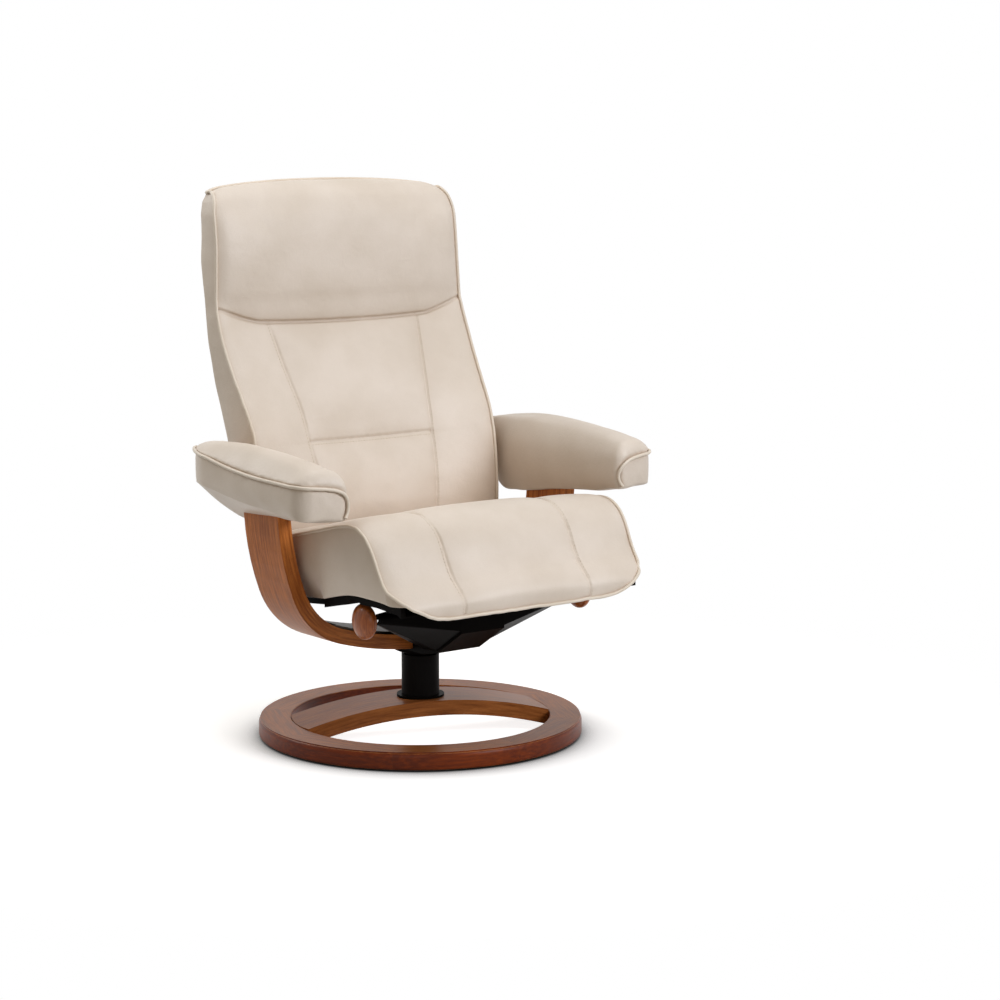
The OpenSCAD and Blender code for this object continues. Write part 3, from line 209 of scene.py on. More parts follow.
def stained_beech(tree, shader, along, across, through, lines=None, edge=None, tone=(1, 1, 1)):
    """Beech stained brown: short dark pores and soft streaks along the grain, satin lacquer.
    along, across and through are metres. lines is the layer count through a lamination, and
    edge is 1 where its cut edges show."""
    place = add(tree, "ShaderNodeCombineXYZ", X=along, Y=across, Z=through).outputs[0]
    # Soft streaks 4 mm wide and about 60 mm long
    stretch = add(tree, "ShaderNodeMapping", in_0=place, Scale=(16, 240, 240))
    streak = add(tree, "ShaderNodeTexNoise", in_0=stretch.outputs[0], Scale=1.0, Detail=3.0, Roughness=0.55)
    # Pores 0.7 mm wide, drawn twice as coarse as real ones so that they show
    thin = add(tree, "ShaderNodeMapping", in_0=place, Scale=(90, 1400, 1400))
    pore = add(tree, "ShaderNodeTexNoise", in_0=thin.outputs[0], Scale=1.0, Detail=2.0, Roughness=0.6)
    # Stain lies unevenly over 100 to 200 mm
    cloud = add(tree, "ShaderNodeTexNoise", in_0=place, Scale=7.0, Detail=2.0)
    amount = maths(tree, "MULTIPLY_ADD", streak.outputs[0], 0.9, -0.05)
    amount = maths(tree, "ADD", amount, maths(tree, "MULTIPLY_ADD", cloud.outputs[0], 0.5, -0.25))
    ramp = add(tree, "ShaderNodeValToRGB", in_0=amount)
    ramp.color_ramp.elements[0].position = 0.25
    ramp.color_ramp.elements[1].position = 0.62
    dyed(ramp, stain_dark, stain_face)
    colour = ramp.outputs[0]
    if lines is not None:
        line = maths(tree, "MULTIPLY", maths(tree, "LESS_THAN", maths(tree, "FRACT", lines), 0.14), edge)
        colour = add(tree, "ShaderNodeMix", multiplied,
                     in_0=maths(tree, "MULTIPLY", line, 0.18), in_6=colour, in_7=linear("#6A4A34")).outputs[2]
    speck = maths(tree, "GREATER_THAN", pore.outputs[0], 0.60)
    colour = add(tree, "ShaderNodeMix", multiplied,
                 in_0=maths(tree, "MULTIPLY", speck, 0.28), in_6=colour, in_7=linear("#7A5A44")).outputs[2]
    tint = add(tree, "ShaderNodeMix", multiplied, in_0=1.0,
               in_6=colour, in_7=[*tone, 1])
    wire(tree, shader, Base_Color=tint.outputs[2])
    rough = maths(tree, "MULTIPLY_ADD", streak.outputs[0], 0.14, 0.30)
    wire(tree, shader, Roughness=rough, IOR=1.5, Specular_IOR_Level=0.13, Coat_Weight=0.05,
         Coat_Roughness=0.22)
    relief = maths(tree, "SUBTRACT", maths(tree, "MULTIPLY", streak.outputs[0], 0.5),
                   maths(tree, "MULTIPLY", speck, 0.4))
    bump = add(tree, "ShaderNodeBump", Strength=0.12, Distance=0.0006, Height=relief)
    wire(tree, shader, Normal=bump.outputs[0])


def dress(material, *names):
    """Gives CAD nodes their material."""
    for name in names:
        for place in nodes[name].material_slots:
            place.material = material
        if not nodes[name].material_slots:
            nodes[name].data.materials.append(material)


# The ring: grain along each curved segment, with a fine glue line at the joints
ring_beech, tree, shader = new_material("lacquered_beech_ring")
here = add(tree, "ShaderNodeSeparateXYZ", in_0=add(tree, "ShaderNodeTexCoord").outputs["Object"])
angle, distance = polar(tree, here.outputs[0], here.outputs[1])
share = maths(tree, "MULTIPLY", maths(tree, "ADD", angle, math.pi), ring_segments / (2 * math.pi))
piece = maths(tree, "FLOOR", share)
inside = maths(tree, "SUBTRACT", maths(tree, "FRACT", share), 0.5)
length = 2 * math.pi * ring_radius / ring_segments
along = maths(tree, "ADD", maths(tree, "MULTIPLY", inside, length), maths(tree, "MULTIPLY", piece, 3.7))
# Each segment is sawn from a straight board, so its grain runs straight across the curve
half = maths(tree, "MULTIPLY", inside, 2 * math.pi / ring_segments)
across = maths(tree, "MULTIPLY", distance, maths(tree, "COSINE", half))
across = maths(tree, "ADD", across, maths(tree, "MULTIPLY", piece, 0.613))
stained_beech(tree, shader, along, across, here.outputs[2])
# Painted shade: the ring's upright walls are coloured darker and more orange than its top
up = add(tree, "ShaderNodeSeparateXYZ", in_0=add(tree, "ShaderNodeNewGeometry").outputs["Normal"]).outputs[2]
wall = maths(tree, "LESS_THAN", maths(tree, "ABSOLUTE", up), 0.6)
base = shader.inputs["Base Color"].links[0].from_socket
wall_shade = add(tree, "ShaderNodeMix", multiplied, in_0=wall, in_6=base,
             in_7=linear("#B8823C"))
wire(tree, shader, Base_Color=wall_shade.outputs[2])
edge_place = maths(tree, "GREATER_THAN", maths(tree, "ABSOLUTE", inside), 0.4985)
base = shader.inputs["Base Color"].links[0].from_socket
joint = add(tree, "ShaderNodeMix", mixed, in_0=maths(tree, "MULTIPLY", edge_place, 0.45),
            in_6=base, in_7=linear("#4A2A18"))
wire(tree, shader, Base_Color=joint.outputs[2])
dress(ring_beech, "base_ring")

# The crossbar: long grain on top, veneer lines along its arched edges
bar_beech, tree, shader = new_material("laminated_beech_crossbar")
turned = add(tree, "ShaderNodeMapping", {"vector_type": "POINT"},
             in_0=add(tree, "ShaderNodeTexCoord").outputs["Object"])
wire(tree, turned, Rotation=(0, 0, -base_turn))
here = add(tree, "ShaderNodeSeparateXYZ", in_0=turned.outputs[0])
bar_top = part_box("base_crossbar")[1][2]
bar_sweep = 0.818
drop = maths(tree, "ADD", here.outputs[2], bar_sweep - bar_top)
angle, distance = polar(tree, drop, here.outputs[0])
facing = add(tree, "ShaderNodeVectorRotate", {"rotation_type": "Z_AXIS"},
             in_0=add(tree, "ShaderNodeNewGeometry").outputs["Normal"], Angle=-base_turn)
side = maths(tree, "ABSOLUTE", add(tree, "ShaderNodeSeparateXYZ", in_0=facing.outputs[0]).outputs[1])
side = maths(tree, "GREATER_THAN", side, 0.8)
layer = maths(tree, "DIVIDE", distance, veneer)
stained_beech(tree, shader, maths(tree, "MULTIPLY", angle, bar_sweep), here.outputs[1], distance,
              lines=layer, edge=side, tone=(0.88, 0.86, 0.80))
dress(bar_beech, "base_crossbar")

# Dowels: raw beech; felt: pressed grey-brown wool under the ring
raw_beech, tree, shader = new_material("raw_beech")
here = add(tree, "ShaderNodeTexCoord")
stretch = add(tree, "ShaderNodeMapping", in_0=here.outputs["Object"], Scale=(20, 260, 260))
grain = add(tree, "ShaderNodeTexNoise", in_0=stretch.outputs[0], Scale=1.0, Detail=3.0)
ramp = add(tree, "ShaderNodeValToRGB", in_0=grain.outputs[0])
dyed(ramp, "#B58A56", "#D9B680")
wire(tree, shader, Base_Color=ramp.outputs[0], Roughness=0.7)
dress(raw_beech, "crossbar_dowels")

wool_felt, tree, shader = new_material("pressed_wool_felt")
here = add(tree, "ShaderNodeTexCoord")
fibre = add(tree, "ShaderNodeTexNoise", in_0=here.outputs["Object"], Scale=900.0, Detail=4.0, Roughness=0.7)
ramp = add(tree, "ShaderNodeValToRGB", in_0=fibre.outputs[0])
dyed(ramp, "#2E2B28", "#57514A")
wire(tree, shader, Base_Color=ramp.outputs[0], Roughness=0.95, Sheen_Weight=0.3)
bump = add(tree, "ShaderNodeBump", Strength=0.6, Distance=0.0005, Height=fibre.outputs[0])
wire(tree, shader, Normal=bump.outputs[0])
dress(wool_felt, "floor_glides")


# Swivel column
# A steel foot plate bolted to the crossbar carries a steel tube under a black plastic sleeve.
# The hub's spindle turns in it on a bearing whose bright ring shows in the sleeve's rim.
def painted_steel(name, code, roughness, dirt):
    """Gloss stove paint on pressed steel: slight orange peel and a little dust on top."""
    material, tree, shader = new_material(name)
    here = add(tree, "ShaderNodeTexCoord")
    cloud = add(tree, "ShaderNodeTexNoise", in_0=here.outputs["Object"], Scale=28.0, Detail=4.0)
    peel = add(tree, "ShaderNodeTexNoise", in_0=here.outputs["Object"], Scale=420.0, Detail=1.0)
    normal = add(tree, "ShaderNodeNewGeometry").outputs["Normal"]
    up = add(tree, "ShaderNodeSeparateXYZ", in_0=normal).outputs[2]
    dust = maths(tree, "MULTIPLY", maths(tree, "MAXIMUM", up, 0.0),
                 maths(tree, "MULTIPLY", cloud.outputs[0], dirt))
    colour = add(tree, "ShaderNodeMix", mixed, in_0=dust, in_6=linear(code),
                 in_7=linear("#6E6862"))
    wire(tree, shader, Base_Color=colour.outputs[2])
    rough = maths(tree, "MULTIPLY_ADD", cloud.outputs[0], 0.12, roughness - 0.06)
    wire(tree, shader, Roughness=rough, IOR=1.5, Specular_IOR_Level=0.015)
    bump = add(tree, "ShaderNodeBump", Strength=0.08, Distance=0.0004, Height=peel.outputs[0])
    wire(tree, shader, Normal=bump.outputs[0])
    return material


gloss_black = painted_steel("gloss_black_stoved_steel", "#090706", 0.38, 0.01)
dress(gloss_black, "column_flange", "swivel_hub", "tilt_housing")

# Moulded black nylon with a fine spark-eroded grain of 0.4 mm, drawn at 0.8 mm
black_nylon, tree, shader = new_material("moulded_black_nylon")
here = add(tree, "ShaderNodeTexCoord")
grain = add(tree, "ShaderNodeTexNoise", in_0=here.outputs["Object"], Scale=1250.0, Detail=2.0)
shade = add(tree, "ShaderNodeTexNoise", in_0=here.outputs["Object"], Scale=40.0, Detail=3.0)
ramp = add(tree, "ShaderNodeValToRGB", in_0=shade.outputs[0])
dyed(ramp, "#0B0909", "#131110")
wire(tree, shader, Base_Color=ramp.outputs[0],
     Roughness=maths(tree, "MULTIPLY_ADD", shade.outputs[0], 0.1, 0.38), IOR=1.53, Specular_IOR_Level=0.025)
bump = add(tree, "ShaderNodeBump", Strength=0.15, Distance=0.0003, Height=grain.outputs[0])
wire(tree, shader, Normal=bump.outputs[0])
dress(black_nylon, "column_sleeve")


def plated_steel(name, code, roughness, brushed):
    """Plated steel: bright and mirror-like, or dull zinc with a fine brushing 0.5 mm apart."""
    material, tree, shader = new_material(name)
    here = add(tree, "ShaderNodeTexCoord")
    stretch = add(tree, "ShaderNodeMapping", in_0=here.outputs["Object"], Scale=(12, 900, 900))
    line = add(tree, "ShaderNodeTexNoise", in_0=stretch.outputs[0], Scale=1.0, Detail=3.0)
    cloud = add(tree, "ShaderNodeTexNoise", in_0=here.outputs["Object"], Scale=35.0, Detail=3.0)
    dark = [c * 0.72 for c in linear(code)[:3]] + [1]
    colour = add(tree, "ShaderNodeMix", mixed,
                 in_0=maths(tree, "MULTIPLY", cloud.outputs[0], 0.8), in_6=linear(code), in_7=dark)
    wire(tree, shader, Base_Color=colour.outputs[2])
    rough = maths(tree, "MULTIPLY_ADD", line.outputs[0], 0.2 * brushed, roughness)
    wire(tree, shader, Roughness=rough, Metallic=1.0)
    bump = add(tree, "ShaderNodeBump", Strength=0.15 * brushed, Distance=0.0002, Height=line.outputs[0])
    wire(tree, shader, Normal=bump.outputs[0])
    return material


zinc = plated_steel("zinc_plated_steel", "#544B42", 0.36, 1.0)
chrome = plated_steel("bright_chromed_steel", "#D2D4D6", 0.08, 0.3)
dress(zinc, "column_bolts", "column_post")
dress(chrome, "swivel_bearing")


# Bentwood hoop
# One U-shaped bent lamination of thin beech veneers, stained as the base. Its grain follows
# the bend; the veneers' edges show as fine lines on the front and rear edges.
# A zinc-plated strap is screwed inside its bottom and bolted to the hub.
hoop_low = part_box("hoop_frame")[0][2]
bottom_r, corner_r, side_r = 0.710, 0.154, 0.485
bottom_turn, corner_turn = math.radians(16.7), math.radians(69.6)
bottom_x, bottom_z = 0.0, hoop_low + bottom_r
corner_x = (bottom_r - corner_r) * math.sin(bottom_turn)
corner_z = bottom_z - (bottom_r - corner_r) * math.cos(bottom_turn)
side_x = corner_x + (corner_r - side_r) * math.sin(corner_turn)
side_z = corner_z - (corner_r - side_r) * math.cos(corner_turn)

hoop_beech, tree, shader = new_material("laminated_beech_hoop")
here = add(tree, "ShaderNodeSeparateXYZ", in_0=add(tree, "ShaderNodeTexCoord").outputs["Object"])
wide = maths(tree, "ABSOLUTE", here.outputs[0])
parts = []
for x, z, r, start in ((bottom_x, bottom_z, bottom_r, 0.0),
                       (corner_x, corner_z, corner_r, bottom_turn * bottom_r),
                       (side_x, side_z, side_r,
                        bottom_turn * bottom_r + (corner_turn - bottom_turn) * corner_r)):
    turn, far = polar(tree, maths(tree, "SUBTRACT", z, here.outputs[2]), maths(tree, "SUBTRACT", wide, x))
    parts.append((turn, maths(tree, "SUBTRACT", far, r), r, start))
# The bend's three arcs meet at two angles, seen from the corner's centre
switch = parts[1][0]
first = maths(tree, "GREATER_THAN", switch, bottom_turn)
second = maths(tree, "GREATER_THAN", switch, corner_turn)
runs = [maths(tree, "ADD", maths(tree, "MULTIPLY", maths(tree, "SUBTRACT", turn, begin), r), start)
        for (turn, depth, r, start), begin in zip(parts, (0.0, bottom_turn, corner_turn))]


def choose(tree, values):
    """The value that belongs to the arc on which a point of the hoop lies."""
    low = add(tree, "ShaderNodeMix", {"data_type": "FLOAT"}, in_0=first, in_2=values[0], in_3=values[1])
    high = add(tree, "ShaderNodeMix", {"data_type": "FLOAT"}, in_0=second, in_2=low.outputs[0],
               in_3=values[2])
    return high.outputs[0]


run, depth = choose(tree, runs), choose(tree, [p[1] for p in parts])
facing = add(tree, "ShaderNodeSeparateXYZ", in_0=add(tree, "ShaderNodeNewGeometry").outputs["Normal"])
side = maths(tree, "GREATER_THAN", maths(tree, "ABSOLUTE", facing.outputs[1]), 0.8)
stained_beech(tree, shader, run, here.outputs[1], depth, lines=maths(tree, "DIVIDE", depth, veneer),
              edge=side, tone=(1.55, 1.52, 1.35))
dress(hoop_beech, "hoop_frame")
dress(zinc, "hoop_plate")
dress(chrome, "hoop_bolts")


# Tilt mechanism and knobs
# Pressed steel in gloss black holds the pivots of the seat. A bright rod passes through it,
# with friction washers, and a turned beech knob with a brass insert clamps each end.
dress(chrome, "recline_pivots", "tension_rod", "friction_washers")

knob_beech, tree, shader = new_material("turned_lacquered_beech")
here = add(tree, "ShaderNodeSeparateXYZ", in_0=add(tree, "ShaderNodeTexCoord").outputs["Object"])
stained_beech(tree, shader, here.outputs[2], here.outputs[1], here.outputs[0], tone=(1.22, 0.98, 0.66))
wire(tree, shader, Coat_Weight=0.35, Coat_Roughness=0.12)
dress(knob_beech, "tension_knob_left", "tension_knob_right")

# Turned brass: fine tool rings 0.4 mm apart round the rod's axis
brass, tree, shader = new_material("turned_brass")
here = add(tree, "ShaderNodeTexCoord")
centre = add(tree, "ShaderNodeMapping", in_0=here.outputs["Object"], Location=(0, 0.169, -0.265))
spot = add(tree, "ShaderNodeSeparateXYZ", in_0=centre.outputs[0])
angle, distance = polar(tree, spot.outputs[1], spot.outputs[2])
tool = maths(tree, "SINE", maths(tree, "MULTIPLY", distance, 2 * math.pi / 0.0004))
wire(tree, shader, Base_Color=linear("#B9934F"), Metallic=1.0,
     Roughness=maths(tree, "MULTIPLY_ADD", tool, 0.05, 0.25))
bump = add(tree, "ShaderNodeBump", Strength=0.2, Distance=0.0001, Height=tool)
wire(tree, shader, Normal=bump.outputs[0])
dress(brass, "knob_insert_left", "knob_insert_right")


# Seat pan, frame and brackets
# Black painted sheet steel under the seat, with a welded tube frame and elastic straps above.
satin_black = painted_steel("satin_black_painted_steel", "#0B0908", 0.38, 0.02)
dress(satin_black, "seat_pan", "seat_frame", "seat_bracket_left", "seat_bracket_right", "back_frame",
      "headrest_frame")
dress(chrome, "back_hinge_pins", "headrest_pins", "arm_bolts")

# Woven elastic: warp threads 1.2 mm apart along the strap and weft 1.6 mm apart
elastic, tree, shader = new_material("woven_black_elastic")
here = add(tree, "ShaderNodeSeparateXYZ", in_0=add(tree, "ShaderNodeTexCoord").outputs["Object"])
weft = maths(tree, "SINE", maths(tree, "MULTIPLY", here.outputs[0], 2 * math.pi / 0.0016))
depth = maths(tree, "ADD", here.outputs[1], here.outputs[2])
warp = maths(tree, "SINE", maths(tree, "MULTIPLY", depth, 2 * math.pi / 0.0012))
weave = maths(tree, "MULTIPLY", weft, warp)
ramp = add(tree, "ShaderNodeValToRGB", in_0=maths(tree, "MULTIPLY_ADD", weave, 0.5, 0.5))
dyed(ramp, "#1B1B1D", "#3B3B3E")
wire(tree, shader, Base_Color=ramp.outputs[0], Roughness=0.85)
bump = add(tree, "ShaderNodeBump", Strength=0.5, Distance=0.0004, Height=weave)
wire(tree, shader, Normal=bump.outputs[0])
dress(elastic, "seat_webbing", "back_webbing")


# Seat cushion
# Moulded foam under cream upholstery leather: a top panel of three strips that rolls over the
# front edge, flat side gussets, and a piped cord in the seam between them. The strips meet in
# turned seams with a line of topstitching beside each.
def smooth(knots, points, at):
    """Smooth curve through the points, whose places along it are the knots."""
    knots, points, at = np.asarray(knots, float), np.asarray(points, float), np.asarray(at, float)
    if points.ndim == 1:
        points = points[:, None]
    slopes = np.gradient(points, knots, axis=0)
    i = np.clip(np.searchsorted(knots, at, side="right") - 1, 0, len(knots) - 2)
    step = (knots[i + 1] - knots[i])
    t = ((at - knots[i]) / step)[..., None]
    step = step[..., None]
    return ((2 * t**3 - 3 * t**2 + 1) * points[i] + (t**3 - 2 * t**2 + t) * step * slopes[i]
            + (3 * t**2 - 2 * t**3) * points[i + 1] + (t**3 - t**2) * step * slopes[i + 1])


def ease(a, b, v):
    t = np.clip((np.asarray(v, float) - a) / (b - a), 0, 1)
    return t * t * (3 - 2 * t)


def spread(stops, step):
    """Places from stop to stop, at most about a step apart."""
    out = [stops[0]]
    for a, b in zip(stops, stops[1:]):
        out += list(np.linspace(a, b, max(2, int(round((b - a) / step))) + 1)[1:])
    return np.array(out)


def leather_case(name, point, across, along, through):
    """A closed cover, sewn like a box cushion. point(u, v, w) gives the place of a point of the
    unit box: u across, v along, w from the front face to the rear one."""
    index, order, faces = {}, [], []
    last = (len(across) - 1, len(along) - 1, len(through) - 1)

    def corner(key):
        if key not in index:
            index[key] = len(order)
            order.append(key)
        return index[key]

    for fixed in range(3):
        a, b = [k for k in range(3) if k != fixed]
        for end in (0, last[fixed]):
            for i in range(last[a]):
                for j in range(last[b]):
                    quad = []
                    for di, dj in ((0, 0), (1, 0), (1, 1), (0, 1)):
                        key = [0, 0, 0]
                        key[fixed], key[a], key[b] = end, i + di, j + dj
                        quad.append(corner(tuple(key)))
                    faces.append(quad if end == 0 else quad[::-1])
    order = np.array(order)
    uvw = np.stack([np.asarray(s)[order[:, k]] for k, s in enumerate((across, along, through))], 1)
    place = point(uvw[:, 0], uvw[:, 1], uvw[:, 2])
    mesh = bpy.data.meshes.new(name)
    mesh.from_pydata([tuple(p) for p in place], [], faces)
    mesh.update()
    bm = bmesh.new()
    bm.from_mesh(mesh)
    bmesh.ops.recalc_face_normals(bm, faces=bm.faces)
    bm.to_mesh(mesh)
    bm.free()
    for k, letter in enumerate("uvw"):
        share = mesh.attributes.new("case_" + letter, "FLOAT", "POINT")
        share.data.foreach_set("value", uvw[:, k].astype(np.float32))
    case = bpy.data.objects.new(name, mesh)
    scene.collection.objects.link(case)
    return case


def spots(mesh):
    out = np.empty(len(mesh.vertices) * 3)
    mesh.vertices.foreach_get("co", out)
    return out.reshape(-1, 3)


def set_spots(mesh, place):
    mesh.vertices.foreach_set("co", np.asarray(place, float).ravel())
    mesh.update()


def normals(mesh):
    out = np.empty(len(mesh.vertices) * 3, np.float32)
    mesh.vertex_normals.foreach_get("vector", out)
    return out.reshape(-1, 3)


def shares(case):
    """The u, v and w of each point of a case."""
    out = []
    for letter in "uvw":
        values = np.empty(len(case.data.vertices), np.float32)
        case.data.attributes["case_" + letter].data.foreach_get("value", values)
        out.append(values.astype(float))
    return out


def sewn_points(u, v, w, seam_gap, half, rear):
    """How fast each point of a case is held while it is filled, from 0 to 1: at the seams of its
    face, at its side edges, over its rear and at both of its ends."""
    face = w < 0.001
    edge_gap = np.where(face, (1 - np.abs(u)) * half, w * 0.10)
    held = np.clip(1 - seam_gap / 0.004, 0, 1) * face * 0.9
    held = np.maximum(held, np.clip(1 - edge_gap / 0.004, 0, 1) * (np.abs(u) > 0.9))
    held = np.maximum(held, (w > 0.999) * rear)
    return np.maximum(held, (v < 0.002) | (v > 0.998))


def stuff(case, held, most):
    """Fills the cover with foam: cloth under pressure, sewn fast where held is 1, and no point
    moving further than most. Every frame is the same each run."""
    mesh = case.data
    rest = spots(mesh)
    group = case.vertex_groups.new(name="sewn")
    for k in range(len(held)):
        if held[k] > 0.01:
            group.add([k], float(held[k]), "REPLACE")
    cloth = case.modifiers.new("foam", "CLOTH")
    cloth.settings.quality = 5
    cloth.settings.mass = 0.3
    cloth.settings.tension_stiffness = cloth.settings.compression_stiffness = 15
    cloth.settings.shear_stiffness = 8
    cloth.settings.bending_stiffness = 2.0
    cloth.settings.vertex_group_mass = "sewn"
    cloth.settings.pin_stiffness = 1.0
    cloth.settings.use_pressure = True
    cloth.settings.uniform_pressure_force = 3.0
    cloth.settings.shrink_min = -0.01
    cloth.settings.effector_weights.gravity = 0
    cloth.point_cache.frame_start, cloth.point_cache.frame_end = 1, 20
    for frame_number in range(1, 21):
        scene.frame_set(frame_number)
    done = case.evaluated_get(bpy.context.evaluated_depsgraph_get())
    moved = spots(done.data) - rest
    case.modifiers.remove(cloth)
    scene.frame_set(1)
    far = np.linalg.norm(moved, axis=1)
    print(case.name, "filled by", round(float(np.percentile(far, 50)) * 1000, 1), "to",
          round(float(far.max()) * 1000, 1), "mm")
    moved *= (most * np.tanh(far / most) / np.maximum(far, 1e-9))[:, None]
    # The rows lie closer at the seams than elsewhere, so the swelling is evened out between them
    ends = np.empty(len(mesh.edges) * 2, np.int32)
    mesh.edges.foreach_get("vertices", ends)
    a, b = ends.reshape(-1, 2).T
    weight = 1 / np.maximum(np.linalg.norm(rest[a] - rest[b], axis=1), 0.002)
    total = np.bincount(a, weight, len(rest)) + np.bincount(b, weight, len(rest))
    free = (1 - np.clip(held, 0, 1))[:, None]
    for _ in range(16):
        mean = np.stack([np.bincount(a, weight * moved[b, k], len(rest))
                         + np.bincount(b, weight * moved[a, k], len(rest)) for k in range(3)], 1)
        mean /= total[:, None]
        moved += 0.7 * free * (mean - moved)
    set_spots(mesh, rest + moved)
    case.vertex_groups.clear()


def rounded(case):
    """One more subdivision, made plain."""
    more = case.modifiers.new("rounding", "SUBSURF")
    more.levels = more.render_levels = 1
    graph = bpy.context.evaluated_depsgraph_get()
    done = bpy.data.meshes.new_from_object(case.evaluated_get(graph), preserve_all_data_layers=True,
                                           depsgraph=graph)
    case.modifiers.remove(more)
    case.data = done
    for face in case.data.polygons:
        face.use_smooth = True


def wobble(place, pitch, seed):
    """Smooth unevenness from -1 to 1, about pitch metres from bump to bump."""
    rng = np.random.default_rng(seed)
    out = np.zeros(len(place))
    for k in range(7):
        way = rng.normal(size=3)
        way /= np.linalg.norm(way)
        out += np.sin(place @ way * (2 * math.pi / pitch) * rng.uniform(0.7, 1.4) + rng.uniform(0, 6.3))
    return out / 3.2


def furrow(case, distance, depth, width, pucker=0.35, pitch=0.013, seed=1, wide=0.4):
    """Presses a sewn line into the cover. distance is each point's distance from the seam, and
    wide the share of the depth that reaches further out."""
    mesh = case.data
    place = spots(mesh)
    press = depth * np.exp(-(distance / width) ** 2)
    soft = wide * depth * np.exp(-(distance / (3.2 * width)) ** 2)
    uneven = 1 + pucker * wobble(place, pitch, seed)
    set_spots(mesh, place - normals(mesh) * (press * (0.85 + 0.15 * uneven) + soft * uneven)[:, None])


def surface(case):
    mesh = case.data
    return BVHTree.FromPolygons([tuple(p) for p in spots(mesh)], [tuple(f.vertices) for f in mesh.polygons])


def laid(tree, line, lift):
    """The line, laid on a surface and lifted off it, without the surface's small bumps."""
    out = []
    for spot in line:
        near, normal, _, _ = tree.find_nearest(Vector(spot))
        out.append(near + normal * lift)
    out = np.array(out)
    for _ in range(3):
        out[1:-1] = (out[:-2] + 2 * out[1:-1] + out[2:]) / 4
    return out.tolist()


# Points on a cord or on a line of stitches lie this far apart, in metres
line_step = 0.004


def evenly(line):
    run = np.concatenate([[0], np.cumsum(np.linalg.norm(np.diff(line, axis=0), axis=1))])
    count = max(3, int(run[-1] / line_step))
    at = np.linspace(0, run[-1], count)
    return np.stack([np.interp(at, run, line[:, k]) for k in range(3)], 1)


def face_line(point, across, along, count):
    """Points on a case's face, evenly from one u to another and from one v to another."""
    return point(np.linspace(*across, count), np.linspace(*along, count), np.zeros(count))


def seam_stitches(point, skin, beside, start, end):
    """Stitching beside the two lengthwise seams, at the same share of the half width."""
    rows = []
    for u in (-beside, beside):
        rows.append(laid(skin, evenly(face_line(point, (u, u), (start, end), 260)), 0.0001))
    return rows


# Piping tree: a leather-covered cord swept along each line, a little uneven
piping_tree = bpy.data.node_groups.new("piped_cord", "GeometryNodeTree")
for name, kind in (("Lines", "Geometry"), ("Cord radius", "Float"), ("Unevenness", "Float"),
                   ("Leather", "Material")):
    piping_tree.interface.new_socket(name, in_out="INPUT", socket_type="NodeSocket" + kind)
piping_tree.interface.new_socket("Cord", in_out="OUTPUT", socket_type="NodeSocketGeometry")
given = add(piping_tree, "NodeGroupInput")
curve = add(piping_tree, "GeometryNodeMeshToCurve", in_0=given.outputs["Lines"])
where = add(piping_tree, "GeometryNodeInputPosition")
uneven = add(piping_tree, "ShaderNodeTexNoise", Vector=where.outputs[0], Scale=160.0)
swing = add(piping_tree, "ShaderNodeMath", {"operation": "MULTIPLY_ADD"}, in_0=uneven.outputs[0],
            in_1=given.outputs["Unevenness"], in_2=given.outputs["Cord radius"])
sized = add(piping_tree, "GeometryNodeSetCurveRadius", Curve=curve.outputs[0], Radius=swing.outputs[0])
ring = add(piping_tree, "GeometryNodeCurvePrimitiveCircle", Resolution=10, Radius=1.0)
tube = add(piping_tree, "GeometryNodeCurveToMesh", Curve=sized.outputs[0], in_1=ring.outputs[0],
           Fill_Caps=True)
if "Scale" in tube.inputs:
    own = add(piping_tree, "GeometryNodeInputRadius")
    wire(piping_tree, tube, Scale=own.outputs[0])
real = add(piping_tree, "GeometryNodeRealizeInstances", in_0=tube.outputs[0])
cover = add(piping_tree, "GeometryNodeSetMaterial", Geometry=real.outputs[0],
            Material=given.outputs["Leather"])
add(piping_tree, "NodeGroupOutput", in_0=cover.outputs[0])

# Stitch tree: one short thread capsule after another along each line
stitch_tree = bpy.data.node_groups.new("topstitching", "GeometryNodeTree")
for name, kind in (("Lines", "Geometry"), ("Stitch pitch", "Float"), ("Stitch length", "Float"),
                   ("Thread radius", "Float"), ("Thread", "Material")):
    stitch_tree.interface.new_socket(name, in_out="INPUT", socket_type="NodeSocket" + kind)
stitch_tree.interface.new_socket("Stitches", in_out="OUTPUT", socket_type="NodeSocketGeometry")
given = add(stitch_tree, "NodeGroupInput")
curve = add(stitch_tree, "GeometryNodeMeshToCurve", in_0=given.outputs["Lines"])
posts = add(stitch_tree, "GeometryNodeCurveToPoints", {"mode": "LENGTH"}, Curve=curve.outputs[0],
            Length=given.outputs["Stitch pitch"])
ball = add(stitch_tree, "GeometryNodeMeshUVSphere", Segments=6, Rings=5, Radius=1.0)
half = add(stitch_tree, "ShaderNodeMath", {"operation": "MULTIPLY"},
           in_0=given.outputs["Stitch length"], in_1=0.5)
size = add(stitch_tree, "ShaderNodeCombineXYZ", X=given.outputs["Thread radius"],
           Y=given.outputs["Thread radius"], Z=half.outputs[0])
lay = add(stitch_tree, "FunctionNodeAlignRotationToVector", {"axis": "Z"}, Vector=posts.outputs["Tangent"])
sewn = add(stitch_tree, "GeometryNodeInstanceOnPoints", Points=posts.outputs["Points"],
           Instance=ball.outputs[0], Rotation=lay.outputs[0], Scale=size.outputs[0])
real = add(stitch_tree, "GeometryNodeRealizeInstances", in_0=sewn.outputs[0])
cover = add(stitch_tree, "GeometryNodeSetMaterial", Geometry=real.outputs[0],
            Material=given.outputs["Thread"])
add(stitch_tree, "NodeGroupOutput", in_0=cover.outputs[0])


